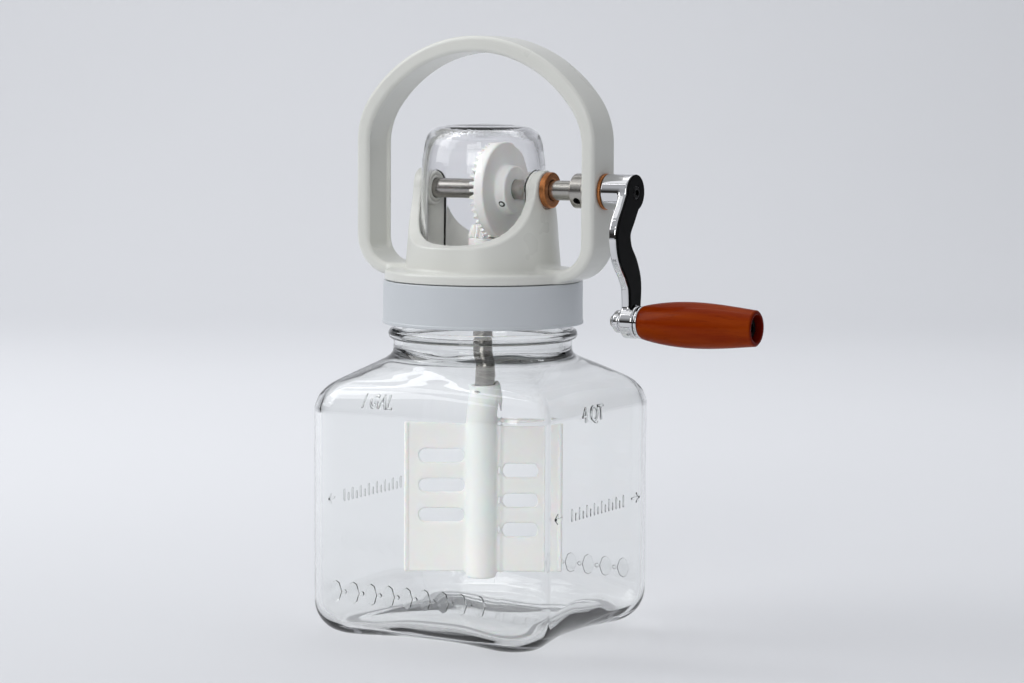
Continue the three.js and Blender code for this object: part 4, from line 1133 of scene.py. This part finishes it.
def turned_x(name, corners, edge, body, node, material, centre=None, closed=True):
    """A turned piece about the crank axis, or about another axis along X at height `centre`."""
    profile = rounded(corners, edge, closed=closed)
    height = SHAFT_Z if centre is None else centre
    made = piece(name, *lathe(profile, 96, closed, "x", height), body, [node])
    return paint(made, material)


turned_x("crank_rod", [[0, SHAFT_LEFT], [SHAFT_RADIUS - 0.7, SHAFT_LEFT], [SHAFT_RADIUS, SHAFT_LEFT + 0.8],
                       [SHAFT_RADIUS, SHAFT_RIGHT], [0, SHAFT_RIGHT]],
         0.3, "crank", "crank_shaft", steel_across, closed=False)
turned_x("left_bush", [[SHAFT_BORE, -44.6], [BUSH_RADIUS, -44.6], [BUSH_RADIUS, -36.4],
                       [SHAFT_BORE, -36.4]], 0.4,
         "head", "left_shaft_bush", white_moulding)
turned_x("right_bush", [[SHAFT_BORE, 36.4], [BUSH_RADIUS, 36.4], [BUSH_RADIUS, 47], [BUSH_RIM, 47],
                        [BUSH_RIM, 51.3], [SHAFT_BORE, 51.3]], 0.9,
         "head", "right_shaft_bush", sintered_bronze)
turned_x("outer_bush", [[SHAFT_BORE, 78.5], [BUSH_RADIUS, 78.5], [BUSH_RADIUS, 88.3], [BUSH_RIM, 88.3],
                        [BUSH_RIM, 90.5], [SHAFT_BORE, 90.5]], 0.7,
         "head", "handle_bush", sintered_bronze)

# %% [markdown]
# The shaft collar is a plain steel ring with a small chamfer at its inner end and a socket screw let into
# its side. The hub of the face gear is held by a similar screw. The collar's screw sits in a drilled hole.

# %% Set screws and shaft collar
SCREW_TURN = 0.6
SCREW_WAY = np.array([0, -math.cos(SCREW_TURN), -math.sin(SCREW_TURN)])


def drilled_ring(inner, outer, x0, x1, hole_x, hole_radius, edge):
    """A ring about the crank axis with one drilled hole along the screw's direction."""

    def distance(x, y, z):
        up = z - SHAFT_Z
        r = np.hypot(y, up)
        ring = meet(np.maximum(r - outer, inner - r), np.maximum(x0 - x, x - x1), edge)
        along = y * SCREW_WAY[1] + up * SCREW_WAY[2]
        off = np.sqrt((x - hole_x) ** 2 + (y - along * SCREW_WAY[1]) ** 2 + (up - along * SCREW_WAY[2]) ** 2)
        return carve(ring, np.maximum(off - hole_radius, -along), 0.35)

    return distance


def set_screw(name, node, x, outer, radius, material):
    """A short socket screw along the screw's direction, with a chamfered mouth and a round blind hole."""
    profile = rounded([[0, 7.2], [radius, 7.2], [radius, outer - 0.3], [radius - 0.3, outer],
                       [radius * 0.55, outer], [radius * 0.5, outer - 1.6], [0, outer - 1.6]],
                      0.15, 3, closed=False)
    points, faces = lathe(profile, 36, closed=False)
    side = np.array([1.0, 0, 0])
    third = np.cross(SCREW_WAY, side)
    points = points @ np.array([side, third, SCREW_WAY]) + [x, 0, SHAFT_Z]
    return paint(piece(name, points, faces, "crank", [node]), material)


ring_low, ring_high = (np.array(v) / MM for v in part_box("shaft_collar"))
ring_middle = (ring_low[0] + ring_high[0]) / 2 + 0.2
stop_ring = moulding("stop_ring",
                     drilled_ring(SHAFT_BORE, 11.1, ring_low[0], ring_high[0], ring_middle, 2.3, 0.7),
                     ring_low, ring_high, 0.4, "crank", ["shaft_collar"])
paint(stop_ring, steel_across)
set_screw("stop_ring_screw", "collar_set_screw", ring_middle, 10.9, 2.0, satin_black)
set_screw("gear_screw", "gear_set_screw", 20.8, 16.1, 2.3, satin_black)

# %% [markdown]
# ## Crank arm
# The arm is a flat S-shaped bar with a barrel hub over the shaft at the top and a round boss over the
# grip's spindle at the bottom, cast in one piece, polished and chromed. A satin black facing lies on its
# outer face. Outline and radii follow a smooth curve through the middle of the bar.

# %% Arm
ARM_PATH = smooth_curve(
    [(0, 0), (-8, -12), (-15.5, -24), (-13.5, -37), (-4.5, -48.5), (0.5, -60), (0, GRIP_Z - SHAFT_Z)], 1201
) + [0, SHAFT_Z]
share = np.linspace(0, 1, len(ARM_PATH))
bulge = np.sin(np.pi * share) ** 2
ARM_HALF = (9.5 + (6.6 - 9.5) * share) * (1 - bulge) + 9.2 * bulge
HUB_RADIUS = 11.3
PLATE_IN, PLATE_REACH = 104, 18.6
BOSS_END_RADIUS = 10.4
SOCKET_END = 100.3
SPINDLE_BORE = 4.3
LINE_Z, LINE_Y = ARM_PATH[::-1, 1], ARM_PATH[::-1, 0]
LINE_SLOPE = np.gradient(LINE_Y, LINE_Z)


def bar_distance(y, z, trim=0.0):
    """Distance to the bar's outline. The nearest height on the middle line is found by a few Newton
    steps: the offset from the line, measured along its tangent, over the tangent's length squared."""
    near = z
    for _ in range(5):
        slope = np.interp(near, LINE_Z, LINE_SLOPE)
        ahead = (y - np.interp(near, LINE_Z, LINE_Y)) * slope + z - near
        near = np.clip(near + ahead / (1 + slope**2), GRIP_Z, SHAFT_Z)
    off = np.hypot(y - np.interp(near, LINE_Z, LINE_Y), z - near)
    return off - np.interp(near, LINE_Z, ARM_HALF[::-1]) + trim


def arm_distance(x, y, z):
    """Barrel hub, bar and lower boss joined with small fillets, bored for the shaft and the spindle."""
    r_top = np.hypot(y, z - SHAFT_Z)
    r_low = np.hypot(y, z - GRIP_Z)
    plate_out = ARM_OUT[0] + PLATE_REACH
    hub = meet(r_top - HUB_RADIUS, np.maximum(ARM_OUT[0] - x, x - plate_out), 0.9)
    bar = meet(bar_distance(y, z), np.maximum(PLATE_IN - x, x - plate_out), 1.3)
    boss = meet(r_low - BOSS_END_RADIUS, np.maximum(PLATE_IN - x, x - ARM_OUT[1]), 1.1)
    solid = blend_min(blend_min(hub, bar, 1.6), boss, 1.6)
    solid = np.maximum(solid, ARM_OUT[0] - x)
    solid = carve(solid, np.maximum(r_top - SHAFT_RADIUS - 0.3, x - SOCKET_END), 0.4)
    solid = carve(solid, r_top - 2.8, 0.2)
    return carve(solid, r_low - SPINDLE_BORE, 0.4)


arm_low, arm_high = (np.array(v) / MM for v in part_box("crank_arm"))
arm = moulding("arm_casting", arm_distance, arm_low, arm_high, 0.55, "crank", ["crank_arm"], nudge=0.1)
paint(arm, chrome_plate)

# %% Black facing on the arm
BOSS_CLEAR = 11.0


def facing_distance(x, y, z):
    """The arm's outline down to the lower boss, as a thin plate with a hole for the screw."""
    r_top = np.hypot(y, z - SHAFT_Z)
    outline = np.minimum(r_top - HUB_RADIUS, bar_distance(y, z, 0.25))
    outline = np.maximum(outline, BOSS_CLEAR - np.hypot(y, z - GRIP_Z))
    outline = np.maximum(outline, GRIP_Z - z)
    plate = meet(outline, np.maximum(FACING_IN - x, x - FACING_OUT), 0.45)
    return carve(plate, r_top - 4.6, 0.2)


facing_low, facing_high = (np.array(v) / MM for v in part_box("arm_facing"))
facing_low[2] = GRIP_Z
facing = moulding("arm_face_plate", facing_distance, facing_low, facing_high, 0.5, "crank", ["arm_facing"])
paint(facing, satin_black)

# %% [markdown]
# ## Screws, spindle and nut
# A countersunk socket screw holds the arm. The grip turns on a steel spindle that passes through the
# lower boss and is held behind it by a round stepped nut, chromed like the arm.

# %% Fixings


def hex_hole(points, centre, start, width):
    """Pulls the points of a round blind hole in to a hexagon: divide by the cosine off the nearest flat."""
    points = points.copy()
    up = points[:, 2] - centre
    r = np.hypot(points[:, 1], up)
    turn = np.arctan2(points[:, 1], up)
    flat = (turn + math.pi / 6) % (math.pi / 3) - math.pi / 6
    inside = (r > 0.1) & (r < width * 1.02) & (points[:, 0] > start)
    scale = np.where(inside, 0.87 / np.cos(flat), 1)
    points[:, 1] *= scale
    points[:, 2] = centre + up * scale
    return points


def socket_screw(name, corners, node, centre, start, width, body, material):
    """A screw about an axis along X whose blind hole is hexagonal."""
    points, faces = lathe(rounded(corners, 0.25, 4, closed=False), 96, False, "x", centre)
    made = piece(name, hex_hole(points, centre, start, width), faces, body, [node])
    return paint(made, material)


socket_screw("arm_screw", [[0, 100.6], [2.4, 100.6], [2.4, 109.7], [4.3, 109.7], [4.3, FACING_OUT - 0.2],
                           [3.7, FACING_OUT + 0.4], [2.2, FACING_OUT + 0.4], [2.2, FACING_OUT - 1.4],
                           [0, FACING_OUT - 1.4]],
             "crank_screw", SHAFT_Z, 109.2, 2.2, "crank", black_oxide)
turned_x("spindle", [[0, 94.6], [3.4, 94.6], [4, 95.2], [4, 186.6], [0, 186.6]], 0.2, "crank",
         "grip_spindle", steel_across, GRIP_Z, closed=False)
turned_x("spindle_nut_round", [[SPINDLE_BORE, 96.6], [5.6, 96.6], [7.3, 98.4], [7.3, 101.2],
                               [6.3, 101.9], [6.3, 103.4], [SPINDLE_BORE, 103.4]],
         0.6, "crank", "spindle_nut", chrome_plate, GRIP_Z)
turned_x("ferrule", [[SPINDLE_BORE, 113.5], [9.2, 113.5], [10.3, 114.2], [10.3, 115.8], [9.6, 116.4],
                     [SPINDLE_BORE, 116.4]],
         0.35, "grip", "grip_ferrule", chrome_plate, GRIP_Z)

# %% [markdown]
# ## Wooden grip
# The grip is turned from one piece of wood: narrow at the arm, fullest a little before the middle, and
# slimmer again at the free end, which is bored out for the screw that holds it on the spindle.

# %% Grip
GRIP_RIM, GRIP_BORE, SCREW_BORE, BORE_DEPTH = 10.2, 4.4, 8.6, 7.6
grip_share = np.linspace(0, 1, 34)
ends = 10.6 + 0.7 * grip_share
swell = ends + (GRIP_RADIUS - ends) * np.sin(np.pi * grip_share**0.87).clip(0)
side = np.stack([swell, GRIP_START + 0.5 + (GRIP_END - GRIP_START - 1.5) * grip_share], 1)
grip_profile = np.vstack([
    rounded([[GRIP_BORE, GRIP_START + 3], [GRIP_BORE, GRIP_START], [GRIP_RIM, GRIP_START], side[0]],
            0.3, 4, False)[1:],
    side[1:-1],
    rounded([side[-1], [GRIP_RIM, GRIP_END], [SCREW_BORE, GRIP_END], [SCREW_BORE, GRIP_END - BORE_DEPTH],
             [GRIP_BORE, GRIP_END - BORE_DEPTH], [GRIP_BORE, GRIP_END - 12]], 0.7, 4, False),
])
grip = piece("grip_wood", *lathe(grip_profile, 128, True, "x", GRIP_Z), "grip", ["wooden_grip"])
paint(grip, stained_wood)
socket_screw("end_screw", [[0, 187.6], [6.6, 187.6], [6.6, 190.2], [5.4, 191.2], [2.9, 191.2], [2.9, 189],
                           [0, 189]],
             "grip_end_screw", GRIP_Z, 188.8, 2.9, "crank", satin_black)

# %% [markdown]
# ## Dasher
# A steel rod hangs from the pinion and carries the paddle. The paddle is a moulded tube with two flat
# blades, each with a column of rounded slots and a thicker outer edge. The slots of one blade sit half a
# step lower than those of the other, so that cream is cut twice in each turn.

# %% Dasher rod, bush, seal and pins


def turned_z(name, corners, edge, body, node, material, closed=True):
    """A turned piece about the upright axis."""
    made = piece(name, *lathe(rounded(corners, edge, closed=closed), 96, closed), body, [node])
    return paint(made, material)


ROD_LOW, ROD_RADIUS = 60, 6.35
PIN_Z = 146
turned_z("dasher_rod", [[0, ROD_LOW], [5.5, ROD_LOW], [ROD_RADIUS, ROD_LOW + 1], [ROD_RADIUS, 241.6],
                        [3.8, 241.6], [3.8, 259], [0, 259]],
         0.3, "dasher", "dasher_shaft", steel_upright, closed=False)
turned_z("lower_bush", [[SHAFT_BORE, 224.4], [BUSH_RIM, 224.4], [BUSH_RIM, 229.6], [BUSH_RADIUS, 229.6],
                        [BUSH_RADIUS, 241], [SHAFT_BORE, 241]],
         0.5, "head", "dasher_bush", sintered_bronze)
turned_z("rod_seal", [[SHAFT_BORE, 220.6], [10.6, 220.6], [10.6, 224], [SHAFT_BORE, 224]],
         0.6, "head", "shaft_seal", soft_rubber)
pin_profile = rounded([[0, -9.2], [1.5, -9.2], [1.5, 9.2], [0, 9.2]], 0.3, closed=False)
for name, node, z in (("pinion_cross_pin", "pinion_pin", 247.6), ("paddle_cross_pin", "paddle_pin", PIN_Z)):
    points, faces = lathe(pin_profile, 32, False)
    points = points[:, [1, 2, 0]] + [0, 0, z]
    paint(piece(name, points, faces, "dasher", [node]), steel_across)

# %% Paddle
PADDLE_TURN = math.radians(29.5)
PADDLE_LOW, PADDLE_HIGH = 35.7, 134
PADDLE_HALF = 50
BLADE_HALF, RIM_HALF, RIM_WIDTH = 1.7, 2.6, 2.6
TUBE_RADIUS, TUBE_LOW, TUBE_HIGH = 9.7, 32, 155
SLOT_STEP, SLOT_TOP = 19.5, 112
SLOT_MIDDLE, SLOT_REACH, SLOT_RADIUS = 25.5, 10.5, 4.5


def paddle_distance(x, y, z):
    """Tube and two slotted blades with thicker outer edges, bored for the rod and for a cross pin. The
    blades lie in the XZ plane here and are turned afterwards."""
    r = np.hypot(x, y)
    tube = meet(r - TUBE_RADIUS, np.maximum(TUBE_LOW - z, z - TUBE_HIGH), 1.4)
    height = np.maximum(PADDLE_LOW - z, z - PADDLE_HIGH)
    blade = meet(meet(np.abs(x) - PADDLE_HALF, height, 2.0), np.abs(y) - BLADE_HALF, 0.7)
    rim = np.abs(np.abs(x) - PADDLE_HALF + RIM_WIDTH / 2) - RIM_WIDTH / 2
    edge = meet(meet(rim, height, 0.9), np.abs(y) - RIM_HALF, 0.9)
    first = np.where(x < 0, SLOT_TOP, SLOT_TOP - SLOT_STEP / 2)
    number = np.clip(np.round((first - z) / SLOT_STEP), 0, 2)
    slot_z = first - number * SLOT_STEP
    past = np.abs(np.abs(x) - SLOT_MIDDLE) - SLOT_REACH
    slot = np.hypot(np.maximum(past, 0), z - slot_z) - SLOT_RADIUS
    blade = carve(blade, slot, 0.6)
    solid = blend_min(blend_min(blade, edge, 0.8), tube, 2.5)
    solid = carve(solid, np.maximum(r - SHAFT_BORE, ROD_LOW - 1 - z), 0.5)
    pin_x = x * math.cos(PADDLE_TURN) - y * math.sin(PADDLE_TURN)
    return carve(solid, np.maximum(np.hypot(pin_x, z - PIN_Z) - 1.8, 5 - r), 0.3)


paddle = moulding("paddle_moulding", paddle_distance, (-PADDLE_HALF, -10, TUBE_LOW),
                  (PADDLE_HALF, 10, TUBE_HIGH), 0.95, "dasher", ["dasher_paddle"], turn=PADDLE_TURN)
paint(paddle, paddle_plastic)

# %% [markdown]
# ## Studio
# The churn stands on a pale seamless sweep. A window of six panes behind the viewer's left shoulder is
# mirrored in the dome and the chrome, a soft box on the left gives the shading its direction, and boxes
# overhead light the sweep, which lights the glass from behind. The room is darker at eye level than
# above, and that dark band draws the thin lines along the edges of the glass. A camera that looks past
# the sweep sees a plain pale background instead of the room.

# %% Sweep


def sweep_surface():
    """A floor that turns up into a wall on a quarter circle, drawn across the camera's view."""
    corner = arc((2.2, 1.3), 1.3, -90, 0, 24)
    line = np.vstack([[(-2.6, 0)], [(-1.0, 0)], [(1.0, 0)], corner, [(3.5, 3.2)]])
    across = np.linspace(-3.6, 3.6, 13)
    flat = np.array([-math.sin(AZIMUTH), math.cos(AZIMUTH), 0])
    side = np.array([math.cos(AZIMUTH), math.sin(AZIMUTH), 0])
    points = (line[:, None, :1] * flat + line[:, None, 1:] * np.array([0, 0, 1.0])
              + across[None, :, None] * side)
    return points.reshape(-1, 3) / MM, len(line), len(across)


def open_grid(rows, columns):
    """Quads over a grid that closes on neither side."""
    row, column = np.meshgrid(np.arange(rows - 1), np.arange(columns - 1), indexing="ij")
    first = (row * columns + column).ravel()
    return np.stack([first, first + 1, first + columns + 1, first + columns], 1).tolist()


sweep_points, sweep_rows, sweep_columns = sweep_surface()
sweep_mesh = bpy.data.meshes.new("sweep")
sweep_mesh.from_pydata(sweep_points * MM, [], open_grid(sweep_rows, sweep_columns))
sweep_mesh.shade_smooth()
sweep = bpy.data.objects.new("sweep", sweep_mesh)
bpy.context.scene.collection.objects.link(sweep)
sweep.data.materials.append(
    finish_material("pale_paper", (0.755, 0.765, 0.79), (0.765, 0.775, 0.80), 0.85, drift=1.5, grain=300,
                    depth=0.01, Specular_IOR_Level=0.2)
)

# %% Lights


def soft_box(name, place, aim, width, height, power, colour):
    """A rectangular area light that faces a point."""
    light = bpy.data.lights.new(name, "AREA")
    light.shape = "RECTANGLE"
    light.size = width
    light.size_y = height
    light.energy = power
    light.color = colour
    made = bpy.data.objects.new(name, light)
    made.location = place
    made.rotation_euler = (Vector(aim) - Vector(place)).to_track_quat("-Z", "Y").to_euler()
    bpy.context.scene.collection.objects.link(made)
    return made


def studio_place(right, back, up):
    """A place given from the churn: metres to the viewer's right, away from the viewer, and up."""
    return sideways * right + forward * back + Vector((0, 0, up))


CENTRE = (0, 0, 0.2)
lights = [
    soft_box("side_left", studio_place(-2.1, 0.1, 1.6), CENTRE, 1.6, 1.6, 22, (1.0, 1.0, 1.0)),
    soft_box("overhead", studio_place(0, 0.7, 2.4), studio_place(0, 1.0, 0), 3.0, 2.4, 13, (0.99, 0.99, 1.0)),
    soft_box("backdrop_wash", studio_place(-0.6, 0.7, 2.3), studio_place(-0.2, 3.3, 0.9), 2.4, 1.0, 27,
             (0.99, 0.99, 1.0)),
]
PANE_WIDTH, PANE_HEIGHT, PANE_GAP = 0.46, 0.62, 0.07
for column in (-1, 0, 1):
    for row in (0, 1):
        right = -0.98 + column * (PANE_WIDTH + PANE_GAP)
        place = studio_place(right, -2.84, 0.85 + row * (PANE_HEIGHT + PANE_GAP))
        lights.append(soft_box(f"window_pane_{column + 1}_{row}", place, studio_place(0, 0, 0.2), PANE_WIDTH,
                               PANE_HEIGHT, 3.6, (1.0, 1.0, 0.99)))
print(len(lights), "lights")

# %% Room
world = bpy.data.worlds.new("room")
world.use_nodes = True
tree = world.node_tree
direction = tree.nodes.new("ShaderNodeTexCoord")
split = tree.nodes.new("ShaderNodeSeparateXYZ")
ramp = tree.nodes.new("ShaderNodeValToRGB")
DARK_BELOW, BRIGHT_ABOVE, ROOM_STRENGTH = 0.12, 0.45, 0.52
ramp.color_ramp.elements[0].position = DARK_BELOW
ramp.color_ramp.elements[0].color = (0.055, 0.052, 0.05, 1)
ramp.color_ramp.elements[1].position = BRIGHT_ABOVE
ramp.color_ramp.elements[1].color = (0.92, 0.94, 0.98, 1)
tree.links.new(direction.outputs["Generated"], split.inputs[0])
tree.links.new(split.outputs["Z"], ramp.inputs["Fac"])
tree.links.new(ramp.outputs["Color"], tree.nodes["Background"].inputs["Color"])
tree.nodes["Background"].inputs["Strength"].default_value = ROOM_STRENGTH
plain = tree.nodes.new("ShaderNodeBackground")
plain.inputs["Color"].default_value = (0.62, 0.64, 0.68, 1)
rays = tree.nodes.new("ShaderNodeLightPath")
either = tree.nodes.new("ShaderNodeMixShader")
tree.links.new(rays.outputs["Is Camera Ray"], either.inputs["Fac"])
tree.links.new(tree.nodes["Background"].outputs["Background"], either.inputs[1])
tree.links.new(plain.outputs["Background"], either.inputs[2])
tree.links.new(either.outputs["Shader"], tree.nodes["World Output"].inputs["Surface"])
bpy.context.scene.world = world
bpy.context.scene.view_settings.view_transform = "Standard"
